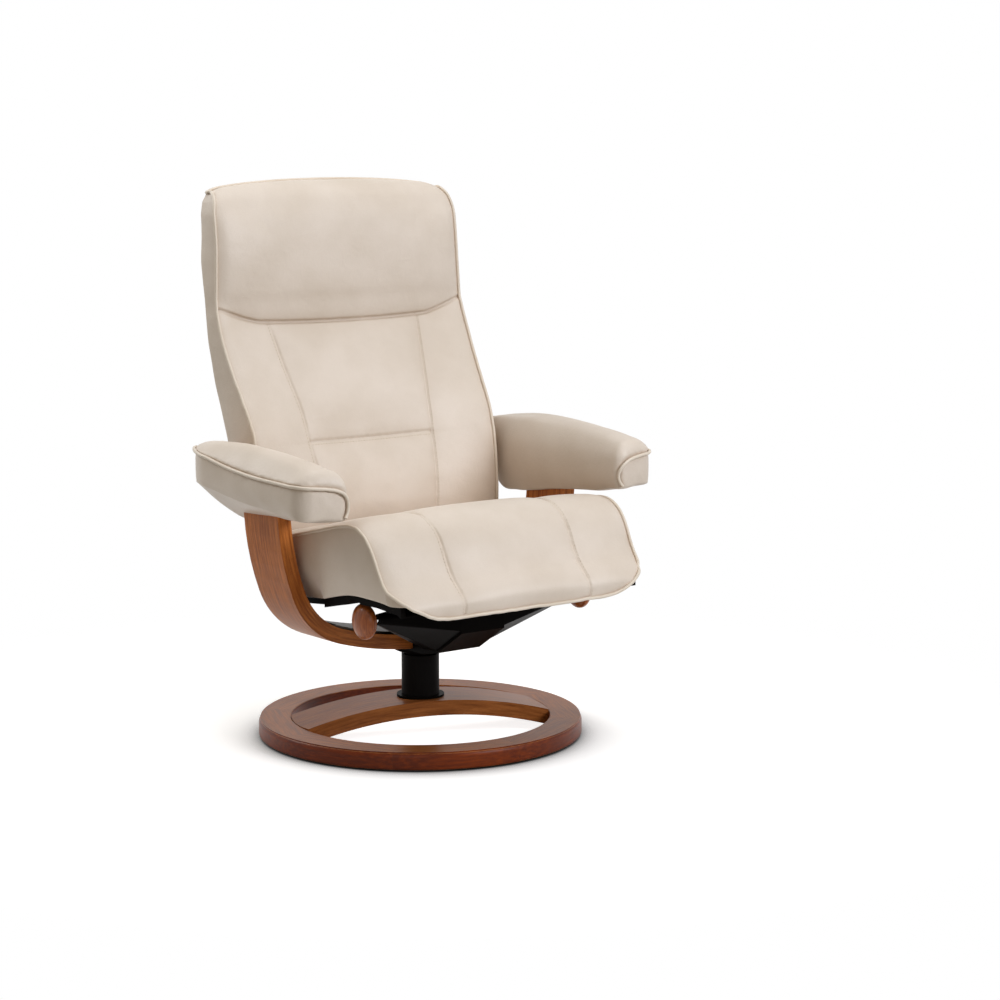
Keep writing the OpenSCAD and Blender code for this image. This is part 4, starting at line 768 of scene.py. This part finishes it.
def along_lines(name, lines, group, sizes):
    """Runs a node tree on lines of points and returns the result as a plain mesh object."""
    points, edges = [], []
    for line in lines:
        start = len(points)
        points += [tuple(p) for p in line]
        edges += [(start + k, start + k + 1) for k in range(len(line) - 1)]
    mesh = bpy.data.meshes.new(name)
    mesh.from_pydata(points, edges, [])
    made = bpy.data.objects.new(name, mesh)
    scene.collection.objects.link(made)
    grow = made.modifiers.new(name, "NODES")
    grow.node_group = group
    for item in group.interface.items_tree:
        if item.in_out == "INPUT" and item.name in sizes:
            grow[item.identifier] = sizes[item.name]
    done = bpy.data.meshes.new_from_object(made.evaluated_get(bpy.context.evaluated_depsgraph_get()))
    made.modifiers.remove(grow)
    made.data = done
    for face in done.polygons:
        face.use_smooth = True
    return made


def upholstery_leather(name, code, shade_code, roughness, grain):
    """Corrected-grain cow hide, dyed cream: pebble grain of 1.2 mm, drawn at 1.8 mm, soft
    creases of some centimetres, and a satin finish that goes a little duller in the grain."""
    material, tree, shader = new_material(name)
    here = add(tree, "ShaderNodeTexCoord").outputs["Object"]
    pebble = add(tree, "ShaderNodeTexVoronoi", {"feature": "DISTANCE_TO_EDGE"}, Vector=here, Scale=560.0)
    fine = add(tree, "ShaderNodeTexNoise", Vector=here, Scale=900.0, Detail=3.0)
    crease = add(tree, "ShaderNodeTexNoise", Vector=here, Scale=38.0, Detail=5.0, Roughness=0.62,
                 Distortion=0.5)
    cloud = add(tree, "ShaderNodeTexNoise", Vector=here, Scale=9.0, Detail=3.0)
    blend = add(tree, "ShaderNodeMapRange", Value=cloud.outputs[0], From_Min=0.35, From_Max=0.68)
    colour = add(tree, "ShaderNodeMix", mixed, in_0=blend.outputs[0], in_6=linear(code),
                 in_7=linear(shade_code))
    pit = add(tree, "ShaderNodeMapRange", Value=pebble.outputs["Distance"], From_Max=0.12)
    dirt = maths(tree, "MULTIPLY", maths(tree, "SUBTRACT", 1.0, pit.outputs[0]), 0.10 * grain)
    colour = add(tree, "ShaderNodeMix", multiplied, in_0=dirt,
                 in_6=colour.outputs[2], in_7=linear("#B9A68C"))
    # Painted shade: recesses that an occlusion pass finds are coloured browner, as light bounced from hide to
    # hide would tint them
    near = add(tree, "ShaderNodeAmbientOcclusion", {"samples": 6}, Distance=0.16)
    recess_shade = maths(tree, "MULTIPLY", maths(tree, "SUBTRACT", 1.0, near.outputs["AO"]), 0.5)
    colour = add(tree, "ShaderNodeMix", multiplied, in_0=recess_shade,
                 in_6=colour.outputs[2], in_7=linear("#B58A45"))
    wire(tree, shader, Base_Color=colour.outputs[2])
    rough = maths(tree, "MULTIPLY_ADD", crease.outputs[0], 0.16, roughness - 0.08)
    wire(tree, shader, Roughness=rough, IOR=1.48, Sheen_Weight=0.08, Sheen_Roughness=0.5)
    height = maths(tree, "ADD", maths(tree, "MULTIPLY", pit.outputs[0], 0.35 * grain),
                   maths(tree, "MULTIPLY", fine.outputs[0], 0.2 * grain))
    small = add(tree, "ShaderNodeBump", Strength=0.25, Distance=0.0005, Height=height)
    large = add(tree, "ShaderNodeBump", Strength=0.22, Distance=0.004, Height=crease.outputs[0],
                Normal=small.outputs[0])
    wire(tree, shader, Normal=large.outputs[0])
    return material


cream = upholstery_leather("cream_cow_hide", "#DDD2C6", "#D4C8BA", 0.46, 1.0)
cord_leather = upholstery_leather("cream_hide_round_piping", "#E2D8CA", "#D9CDBC", 0.42, 0.6)

# Bonded polyester sewing thread, cream, with a slight shine from its twist of 0.9 mm
thread, tree, shader = new_material("bonded_polyester_thread")
here = add(tree, "ShaderNodeTexCoord")
twist = add(tree, "ShaderNodeTexNoise", in_0=here.outputs["Object"], Scale=1100.0, Detail=2.0)
ramp = add(tree, "ShaderNodeValToRGB", in_0=twist.outputs[0])
dyed(ramp, "#B9AB95", "#D2C6B2")
wire(tree, shader, Base_Color=ramp.outputs[0], Roughness=0.5)

cord_radius = 0.0031
thread_sizes = {"Stitch pitch": 0.0062, "Stitch length": 0.0048, "Thread radius": 0.0005, "Thread": thread}
cord_sizes = {"Cord radius": cord_radius - 0.0002, "Unevenness": 0.0004, "Leather": cord_leather}

# The seat's side outline as shares of its depth and height: over the top from the nose, and
# along the underside. The first number is the place along the seat.
seat_depth, seat_height = 0.434, 0.178
seat_nose_y, seat_base_z = -0.328, 0.268
seat_half_width = 0.280
seat_top = [[-0.06, 0.002, 0.112], [0, 0.004, 0.236], [0.05, 0.036, 0.318], [0.12, 0.088, 0.433],
            [0.19, 0.126, 0.573], [0.25, 0.152, 0.702], [0.31, 0.181, 0.815], [0.38, 0.223, 0.915],
            [0.46, 0.290, 0.984], [0.52, 0.350, 0.984], [0.62, 0.493, 0.910], [0.72, 0.642, 0.826],
            [0.80, 0.770, 0.753], [0.89, 0.900, 0.691], [0.95, 0.975, 0.640], [1, 1, 0.540]]
seat_under = [[0, 0.018, 0.225], [0.12, 0.072, 0.262], [0.31, 0.212, 0.281], [0.46, 0.353, 0.270],
              [0.60, 0.498, 0.197], [0.71, 0.633, 0.118], [0.80, 0.770, 0.080], [0.90, 0.902, 0.045],
              [1, 0.975, 0.020]]
strip_seam = 0.5
# The front panel hangs over the pan's edge, and its lower corners are round: these are the drop
# and the corner's reach across and upwards
nose_drop, nose_round, nose_rise = 0.014, 0.110, 0.051


def side_line(rows, depth, height, y, z, at):
    rows = np.array(rows)
    line = smooth(rows[:, 0], rows[:, 1:], at)
    return np.stack([y + depth * line[:, 0], z + height * line[:, 1]], 1)


def outward(rows, depth, height, at, sign):
    """The side line's normal, pointing out of the cushion."""
    a = side_line(rows, depth, height, 0, 0, np.clip(at + 0.004, rows[0][0], 1))
    b = side_line(rows, depth, height, 0, 0, np.clip(at - 0.004, rows[0][0], 1))
    d = a - b
    d /= np.maximum(np.linalg.norm(d, axis=1), 1e-9)[:, None]
    return np.stack([-d[:, 1], d[:, 0]], 1) * sign


def seat_point(u, v, w):
    turn = np.clip((np.abs(u) * seat_half_width - (seat_half_width - nose_round)) / nose_round, 0, 1)
    lift = nose_rise * (1 - np.sqrt(1 - turn**2)) - nose_drop
    start = np.interp(lift, [-nose_drop, 0, nose_rise - nose_drop], [-0.06, 0, 0.12])
    vf = v + start * (1 - v) ** 6
    top = side_line(seat_top, seat_depth, seat_height, seat_nose_y, seat_base_z, vf)
    low = side_line(seat_under, seat_depth, seat_height, seat_nose_y, seat_base_z, np.maximum(vf, 0))
    low += (top + (0.006, 0.003) - low) * (1 - ease(0, 0.05, v))[:, None]
    face = outward(seat_top, seat_depth, seat_height, vf, 1)
    seam_drop = 0.0055 * np.clip((np.abs(u) - 0.90) / 0.10, 0, 1) ** 2
    ends = ease(0, 0.08, v) * (1 - ease(0.86, 1, v))
    crown = 0.0065 * (1 - u * u) * ends
    lifted = top + face * (crown - seam_drop)[:, None]
    w = w[:, None]
    yz = lifted * (1 - w) + low * w
    y, z = yz[:, 0], yz[:, 1]
    tucked = 0.034 * ease(-0.102, -0.046, y) * (1 - ease(0.270, 0.352, z))
    half = seat_half_width - 0.005 * (1 - ease(0.268, 0.446, z)) - tucked
    return np.stack([u * half, y, z], 1)


seat_across = spread([-1, -0.985, -0.96, -0.52, -0.51, -0.5, -0.49, -0.48, 0.48, 0.49, 0.5, 0.51, 0.52, 0.96,
                      0.985, 1], 0.026)
seat_along = spread([0, 0.01, 0.97, 1], 0.0105)
seat_case = leather_case("seat_leather", seat_point, seat_across, seat_along, spread([0, 0.04, 1], 0.045))
u, v, w = shares(seat_case)
seam_gap = np.abs(np.abs(u) - strip_seam) * seat_half_width
stuff(seat_case, sewn_points(u, v, w, seam_gap, seat_half_width, 1.0), 0.007)
rounded(seat_case)
u, v, w = shares(seat_case)
for sign, seed in ((-1, 3), (1, 4)):
    gap = np.where(w < 0.02, np.abs(u - sign * strip_seam) * seat_half_width, 1.0)
    furrow(seat_case, gap, 0.0022, 0.0035, seed=seed)
skin = surface(seat_case)
sides = {s: face_line(seat_point, (s, s), (0, 1), 240) for s in (-1, 1)}
front = face_line(seat_point, (-1, 1), (0, 0), 120)
whole = np.concatenate([sides[-1][::-1], front[1:-1], sides[1]])
cord = laid(skin, evenly(whole), 0.0022)
seat_piping = along_lines("seat_piping", [cord], piping_tree, cord_sizes)
rows = seam_stitches(seat_point, skin, strip_seam + 0.0052 / seat_half_width, 0.012, 0.985)
seat_stitches = along_lines("seat_stitches", rows, stitch_tree, thread_sizes)
seat_case.data.materials.append(cream)
for piece in (seat_case, seat_piping, seat_stitches):
    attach(piece, "seat")
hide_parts("seat_cushion")


# Back and headrest
# One tall leather case over foam on the steel frame, piped round the front panel. A headrest
# panel is sewn on in a wide V seam, two seams run down below it, and a cross seam joins them
# at the lumbar curve. The headrest is fuller and overhangs its seam.
back_low_z, back_tall, back_front_y, back_deep = 0.281, 0.489, 0.109, 0.208
head_tall = 0.232
neck_place = 0.66
# Metres from the middle to the side and from foot to head, to turn shares into distances
reach_half, reach_up = 0.275, 0.72


def back_row(place, y, z):
    return [place * neck_place, y, z * back_tall]


def head_row(place, y, z):
    return [neck_place + (1 - neck_place) * place, y, back_tall + 0.0004 + z * head_tall]


back_face = [back_row(*r) for r in (
    [0, 0.013, 0.004], [0.04, 0.004, 0.040], [0.12, 0.004, 0.120], [0.202, 0.012, 0.202],
    [0.284, 0.024, 0.284], [0.366, 0.046, 0.366], [0.448, 0.080, 0.448], [0.530, 0.123, 0.530],
    [0.611, 0.197, 0.611], [0.693, 0.308, 0.693], [0.775, 0.423, 0.775], [0.857, 0.529, 0.857],
    [0.939, 0.620, 0.939], [1, 0.668, 0.992])]
back_face += [head_row(*r) for r in (
    [0.10, 0.702, 0.100], [0.20, 0.707, 0.200], [0.33, 0.712, 0.330], [0.46, 0.717, 0.480],
    [0.61, 0.731, 0.650], [0.77, 0.765, 0.820], [0.88, 0.822, 0.945], [0.95, 0.900, 1.000],
    [1, 0.970, 0.985])]
back_rear = [back_row(*r) for r in (
    [0, 0.350, 0.004], [0.06, 0.390, 0.035], [0.12, 0.394, 0.100], [0.21, 0.409, 0.202],
    [0.31, 0.437, 0.305], [0.41, 0.481, 0.407], [0.51, 0.543, 0.509], [0.59, 0.601, 0.591],
    [0.673, 0.659, 0.673], [0.755, 0.721, 0.755], [0.836, 0.760, 0.836], [0.918, 0.803, 0.918],
    [1, 0.837, 1.0])]
back_rear += [head_row(*r) for r in (
    [0.13, 0.865, 0.130], [0.28, 0.908, 0.280], [0.44, 0.947, 0.440], [0.61, 0.962, 0.610],
    [0.78, 0.985, 0.780], [0.92, 1.000, 0.900], [1, 0.998, 0.945])]
back_fullness = [[0, 0], [0.04, 0], [0.12, -0.1], [0.202, -0.15], [0.284, -0.2], [0.366, -0.4],
                 [0.448, -0.7], [0.53, -1], [0.611, -0.85], [0.693, -0.5], [0.775, -0.25], [0.857, -0.1],
                 [0.939, 0.0], [1.0, 0.0]]
back_widths = [[0, 0.900], [0.04, 0.915], [0.17, 0.942], [0.32, 0.958], [0.45, 0.966], [0.57, 0.970],
               [0.73, 0.986], [0.90, 1], [1, 0.996]]
head_widths = [[0, 0.993], [0.15, 0.990], [0.35, 0.982], [0.55, 0.975], [0.80, 0.973], [0.90, 0.955],
               [0.96, 0.925], [1, 0.895]]
width_rows = np.array([[back_low_z + a * back_tall, b] for a, b in back_widths]
                      + [[back_low_z + back_tall + a * head_tall, b] for a, b in head_widths[1:]])
# The panel seam's share of the half width, by height
seam_rows = np.array([[0.281, 0.44], [0.37, 0.45], [0.45, 0.475], [0.505, 0.50], [0.56, 0.52], [0.60, 0.53],
                      [0.64, 0.552], [0.68, 0.572], [0.72, 0.588], [0.766, 0.612], [1.02, 0.612]])
panel_seam = 0.55
full_rows = np.array([[a * neck_place, b] for a, b in back_fullness])


def head_puff(v):
    """How full the headrest stands before its own edge line, in metres."""
    rise = np.clip((v - neck_place) / (1 - neck_place), 0, 1)
    swell = np.sqrt(np.clip(1 - (1 - np.clip(rise / 0.38, 0, 1)) ** 2, 0, 1))
    return 0.016 * swell


def seam_rise(u):
    """The V of the headrest seam: metres above its middle place."""
    s = np.abs(u)
    return np.where(s < 0.64, -0.015 + 0.006 * (s / 0.64) ** 2, -0.009 + 0.025 * ((s - 0.64) / 0.36))


def narrower(z):
    """How much less half width the rear has than the front."""
    return 0.001 + 0.005 * ease(0.86, 0.96, z) + 0.024 * (1 - ease(0.30, 0.54, z))


def back_point(u, v, w):
    shift = seam_rise(u) / reach_up * np.exp(-((v - neck_place) / 0.085) ** 2)
    vf = np.clip(v + shift * (1 - w), 0, 1)
    top = side_line(back_face, back_deep, 1, back_front_y, back_low_z, vf)
    low = side_line(back_rear, back_deep, 1, back_front_y, back_low_z, v)
    face = outward(back_face, back_deep, 1, vf, 1)
    hollow = 0.026 * np.interp(v, full_rows[:, 0], full_rows[:, 1]) * (v < neck_place)
    # From the waist up the front edges stand a little forward and closer together
    risen = ease(0.20, 0.40, v) * (1 - ease(0.93, 0.99, v))
    seam_drop = 0.006 * np.clip((np.abs(u) - 0.90) / 0.10, 0, 1) ** 2
    seam_drop -= 0.009 * risen * np.clip((np.abs(u) - 0.7) / 0.3, 0, 1) ** 2
    puff = head_puff(v) * (1 - np.abs(u) ** (5 - 3 * ease(0.80, 0.95, v)))
    lifted = top + face * ((1 - u * u) * hollow + puff - seam_drop)[:, None]
    w1 = w[:, None]
    yz = lifted * (1 - w1) + low * w1
    half = 0.281 * np.interp(yz[:, 1], width_rows[:, 0], width_rows[:, 1])
    half -= narrower(yz[:, 1]) * w + 0.004 * risen * (1 - w)
    share = np.interp(yz[:, 1], seam_rows[:, 0], seam_rows[:, 1]) - panel_seam
    shared = np.abs(u) + share * np.sin(np.pi * np.clip(np.abs(u), 0, 1))
    return np.stack([np.sign(u) * shared * half, yz[:, 0], yz[:, 1]], 1)


across = spread([-1, -0.985, -0.96, -0.57, -0.56, -0.55, -0.54, -0.53, 0.53, 0.54, 0.55, 0.56, 0.57, 0.96,
                 0.985, 1], 0.026)
cross_place = 0.3565
along = spread([0, 0.01, cross_place - 0.012, cross_place - 0.006, cross_place, cross_place + 0.006,
                cross_place + 0.012, neck_place - 0.012, neck_place - 0.005, neck_place, neck_place + 0.005,
                neck_place + 0.012, 0.98, 0.99, 1], 0.0095)
back_case = leather_case("back_leather", back_point, across, along, spread([0, 0.05, 0.95, 1], 0.08))
u, v, w = shares(back_case)
seam_gap = np.where(v < neck_place, np.abs(np.abs(u) - panel_seam) * reach_half, 1)
cross_gap = np.where(np.abs(u) < panel_seam, np.abs(v - cross_place) * reach_up, 1)
nearest = np.minimum(np.minimum(seam_gap, cross_gap), np.abs(v - neck_place) * reach_up)
stuff(back_case, sewn_points(u, v, w, nearest, reach_half, 0.97), 0.007)
rounded(back_case)
u, v, w = shares(back_case)
near_face = w < 0.02
for sign, seed in ((-1, 5), (1, 6)):
    gap = np.where(near_face & (v < neck_place), np.abs(u - sign * panel_seam) * reach_half, 1.0)
    furrow(back_case, gap, 0.0013, 0.003, seed=seed)
gap = np.where(near_face & (np.abs(u) < panel_seam), np.abs(v - cross_place) * reach_up, 1.0)
furrow(back_case, gap, 0.0018, 0.0035, seed=7)
gap = np.where(near_face, np.abs(v - neck_place) * reach_up, 1.0)
furrow(back_case, gap, 0.0030, 0.0030, pucker=0.5, pitch=0.03, seed=8, wide=0.1)

skin = surface(back_case)
sides = {s: face_line(back_point, (s, s), (0, 1), 320) for s in (-1, 1)}
over, under = [face_line(back_point, (-1, 1), (end, end), 140) for end in (1, 0)]
whole = np.concatenate([sides[-1], over[1:-1], sides[1][::-1], under[1:-1][::-1]])
front_cord = laid(skin, evenly(whole), 0.0021)
back_piping = along_lines("back_piping", [front_cord], piping_tree, cord_sizes)
rows = seam_stitches(back_point, skin, panel_seam + 0.0048 / reach_half, 0.02, neck_place - 0.008)
under_cross = cross_place - 0.008
line = face_line(back_point, (0.02 - panel_seam, panel_seam - 0.02), (under_cross, under_cross), 140)
rows.append(laid(skin, evenly(line), 0.0001))
back_stitches = along_lines("back_stitches", rows, stitch_tree, thread_sizes)
back_case.data.materials.append(cream)
for piece in (back_case, back_piping, back_stitches):
    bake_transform(piece)
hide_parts("back_cushion", "headrest_cushion", "back_shell", "headrest_shell")


# Arms
# A foam pad on a birch plywood board that is bolted to the hoop's leg. The top panel rolls over
# the inner side; a stiff band covers the outer side and the rounded front end, piped along its top.
birch_ply, tree, shader = new_material("birch_plywood")
here = add(tree, "ShaderNodeSeparateXYZ", in_0=add(tree, "ShaderNodeTexCoord").outputs["Object"])
layer = maths(tree, "FRACT", maths(tree, "DIVIDE", here.outputs[2], 0.0028))
dark = maths(tree, "GREATER_THAN", layer, 0.5)
colour = add(tree, "ShaderNodeMix", mixed, in_0=dark, in_6=linear("#CDAA74"),
             in_7=linear("#A87F4C"))
wire(tree, shader, Base_Color=colour.outputs[2], Roughness=0.65)
dress(birch_ply, "arm_board_left", "arm_board_right")

arm_inner_x, arm_wide, arm_long, arm_tall, arm_base_z, arm_tip_y = 0.292, 0.106, 0.424, 0.152, 0.416, -0.214
arm_rows = np.array([
    [0, 0.14, 0.98, 0.46, 0.50, 0.76, 0.78], [0.02, 0.07, 0.99, 0.44, 0.46, 0.82, 0.86],
    [0.07, 0.02, 0.99, 0.32, 0.44, 0.85, 0.90], [0.16, 0, 0.99, 0.05, 0.44, 0.84, 0.93],
    [0.28, 0, 1, 0.02, 0.42, 0.80, 0.96], [0.40, 0, 1, 0.05, 0.38, 0.74, 0.97],
    [0.52, 0.01, 1, 0.10, 0.34, 0.70, 0.96], [0.64, 0.02, 0.99, 0.14, 0.31, 0.67, 0.94],
    [0.76, 0.03, 0.98, 0.17, 0.29, 0.66, 0.91], [0.86, 0.03, 0.98, 0.20, 0.29, 0.66, 0.88],
    [0.93, 0.03, 0.98, 0.24, 0.28, 0.66, 0.85], [1, 0.03, 0.98, 0.26, 0.27, 0.66, 0.82]])
# Roundings of the front end, in metres: outer corner, inner corner, top and underside
tip_outer, tip_inner, tip_top, tip_under = 0.028, 0.018, 0.020, 0.006
# The front end slants back towards the outer side by this much, over this length
tip_slant, slant_long = 0.013, 0.15
# The rear end's outer corner, cut back along a long curve: where it starts, its length and width
heel_y, heel_long, heel_wide = 0.110, 0.100, 0.072


def arm_corners(row):
    a, b = row[1] * arm_wide, row[2] * arm_wide
    w = b - a
    zi, zo, zs, zc = row[3:] * arm_tall
    return np.array([
        [a + w * 0.10, zi], [a + w * 0.50, zi + (zo - zi) * 0.42], [b - w * 0.10, zo],
        [b - w * 0.045, zo + (zs - zo) * 0.12], [b - w * 0.03, (zo + zs) / 2],
        [b - w * 0.02, zo + (zs - zo) * 0.93], [b - w * 0.03, zs + (zc - zs) * 0.28],
        [b - w * 0.27, zs + (zc - zs) * 0.86], [b - w * 0.55, zc],
        [b - w * 0.80, zs + (zc - zs) * 0.80], [a + w * 0.04, zi + (zc - zi) * 0.70],
        [a, zi + (zc - zi) * 0.36], [a + w * 0.02, zi + (zc - zi) * 0.08]])


def arm_loops(rows, count):
    """Closed loops round the pad at the given places along it, each of count points."""
    knots = arm_rows[:, 0]
    out = []
    for s in rows:
        row = smooth(knots, arm_rows, np.array([s]))[0]
        loop = arm_corners(row)
        loop = np.concatenate([loop[-2:], loop, loop[:3]])
        at = np.linspace(0, 13, count, endpoint=False)
        ring = smooth(np.arange(-2, 16), loop, at)
        far = arm_long * (1 - s)
        y = arm_tip_y + far
        heel = np.clip((y - heel_y) / heel_long, 0, 1)
        cut = heel_wide * (1 - (1 - heel**1.6) ** 0.625)
        outer, inner, under = [r - math.sqrt(max(r * r - max(r - far, 0) ** 2, 0))
                               for r in (tip_outer, tip_inner, tip_under)]
        roll = math.sqrt(1 - max(1 - far / tip_top, 0) ** 2)
        a, b = row[1] * arm_wide, row[2] * arm_wide
        seam, low = row[5] * arm_tall, row[3] * arm_tall
        x = a + inner + (ring[:, 0] - a) / (b - a) * (b - a - inner - outer - cut)
        above, below = np.maximum(ring[:, 1] - seam, 0), np.maximum(seam - ring[:, 1], 0)
        z = seam + above * roll - below * (1 - under / (seam - low))
        slant = tip_slant * np.clip((x - a) / (b - a), 0, 1) * (1 - ease(0, slant_long, far))
        out.append(np.stack([arm_inner_x + x, y + slant, arm_base_z + z], 1))
    return np.array(out)


def ring_faces(bm, a, b):
    """Faces from one closed ring of points to the next."""
    for k in range(len(a)):
        after = (k + 1) % len(a)
        bm.faces.new((a[k], a[after], b[after], b[k]))


def arm_band_line(count):
    """The band's piped top edge: along the outer side, over the front and down its rounded end."""
    at = np.linspace(0.004, 0.985, count)
    # Of 130 points round the pad, number 54 is where the band meets the top
    side = np.array([arm_loops([s], 130)[0][54] for s in at])
    # Over the front face, in X and Z, on its way down to the inner lower corner
    end = np.array([[0.383, 0.5155], [0.372, 0.515], [0.357, 0.5135], [0.335, 0.511], [0.318, 0.507],
                    [0.308, 0.500], [0.302, 0.489], [0.300, 0.477], [0.303, 0.466], [0.310, 0.458]])
    return side, end


for sign, body_name in ((1, "left"), (-1, "right")):
    places = np.concatenate([[0, 0.006, 0.015], np.linspace(0.03, 0.945, 64),
                             1 - np.array([18, 14, 10.5, 7.5, 5, 3, 1.5, 0.6, 0.15, 0]) / (1000 * arm_long)])
    around = 84
    loops = arm_loops(places, around)
    bm = bmesh.new()
    rings = [[bm.verts.new(p) for p in loop] for loop in loops]
    for a, b in zip(rings, rings[1:]):
        ring_faces(bm, a, b)
    for ring_of in (rings[0], rings[-1]):
        # The ends close in shrinking rings, ever rounder, round one middle point
        middle = sum((p.co for p in ring_of), Vector()) / around
        angles = [k / around * 2 * math.pi - 0.95 for k in range(around)]
        turns = [Vector((math.sin(t), 0, -math.cos(t))) for t in angles]
        outer = ring_of
        for share in (0.86, 0.68, 0.48, 0.30, 0.14):
            inner = [bm.verts.new(middle.lerp(p.co, share**2).lerp(middle + turn * 0.018 * share, 1 - share))
                     for p, turn in zip(ring_of, turns)]
            ring_faces(bm, outer, inner)
            outer = inner
        tip = bm.verts.new(middle)
        for k in range(around):
            bm.faces.new((outer[k], outer[(k + 1) % around], tip))
    bmesh.ops.recalc_face_normals(bm, faces=bm.faces)
    pad = bpy.data.objects.new("arm_leather_" + body_name, bpy.data.meshes.new("arm_leather_" + body_name))
    bm.to_mesh(pad.data)
    bm.free()
    scene.collection.objects.link(pad)
    side, end = arm_band_line(120)
    place = spots(pad.data)
    edge = np.linalg.norm(place[:, None, :] - side[None, ::2, :], axis=2).min(axis=1)
    underside = np.clip(1 - (place[:, 2] - (arm_base_z + 0.02)) / 0.01, 0, 1)
    held = np.maximum(np.clip(1 - edge / 0.005, 0, 1), underside * 0.9)
    stuff(pad, held, 0.006)
    rounded(pad)
    skin = surface(pad)
    front = []
    for x, z in end:
        spot, normal, _, _ = skin.ray_cast(Vector((x, arm_tip_y - 0.1, z)), Vector((0, 1, 0)))
        if spot is not None:
            front.append(tuple(spot))
    line = evenly(np.concatenate([side, np.array(front)]))
    kernel = np.ones(5) / 5
    soft = np.stack([np.convolve(np.pad(line[:, k], 2, mode="edge"), kernel, "valid") for k in range(3)], 1)
    cord = laid(skin, soft, 0.0018)
    sewn = np.array(cord)
    place = spots(pad.data)
    gap = np.full(len(place), 1.0)
    for start in range(0, len(place), 4000):
        part = place[start:start + 4000]
        gap[start:start + 4000] = np.linalg.norm(part[:, None, :] - sewn[None], axis=2).min(axis=1)
    furrow(pad, gap, 0.0022, 0.0055, seed=11)
    piping = along_lines("arm_piping_" + body_name, [cord], piping_tree, cord_sizes)
    for piece in (pad, piping):
        if sign < 0:
            piece.data.transform(Matrix.Scale(-1, 4, (1, 0, 0)))
            piece.data.flip_normals()
        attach(piece, "chassis")
    pad.data.materials.append(cream)
    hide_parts("arm_pad_" + body_name)
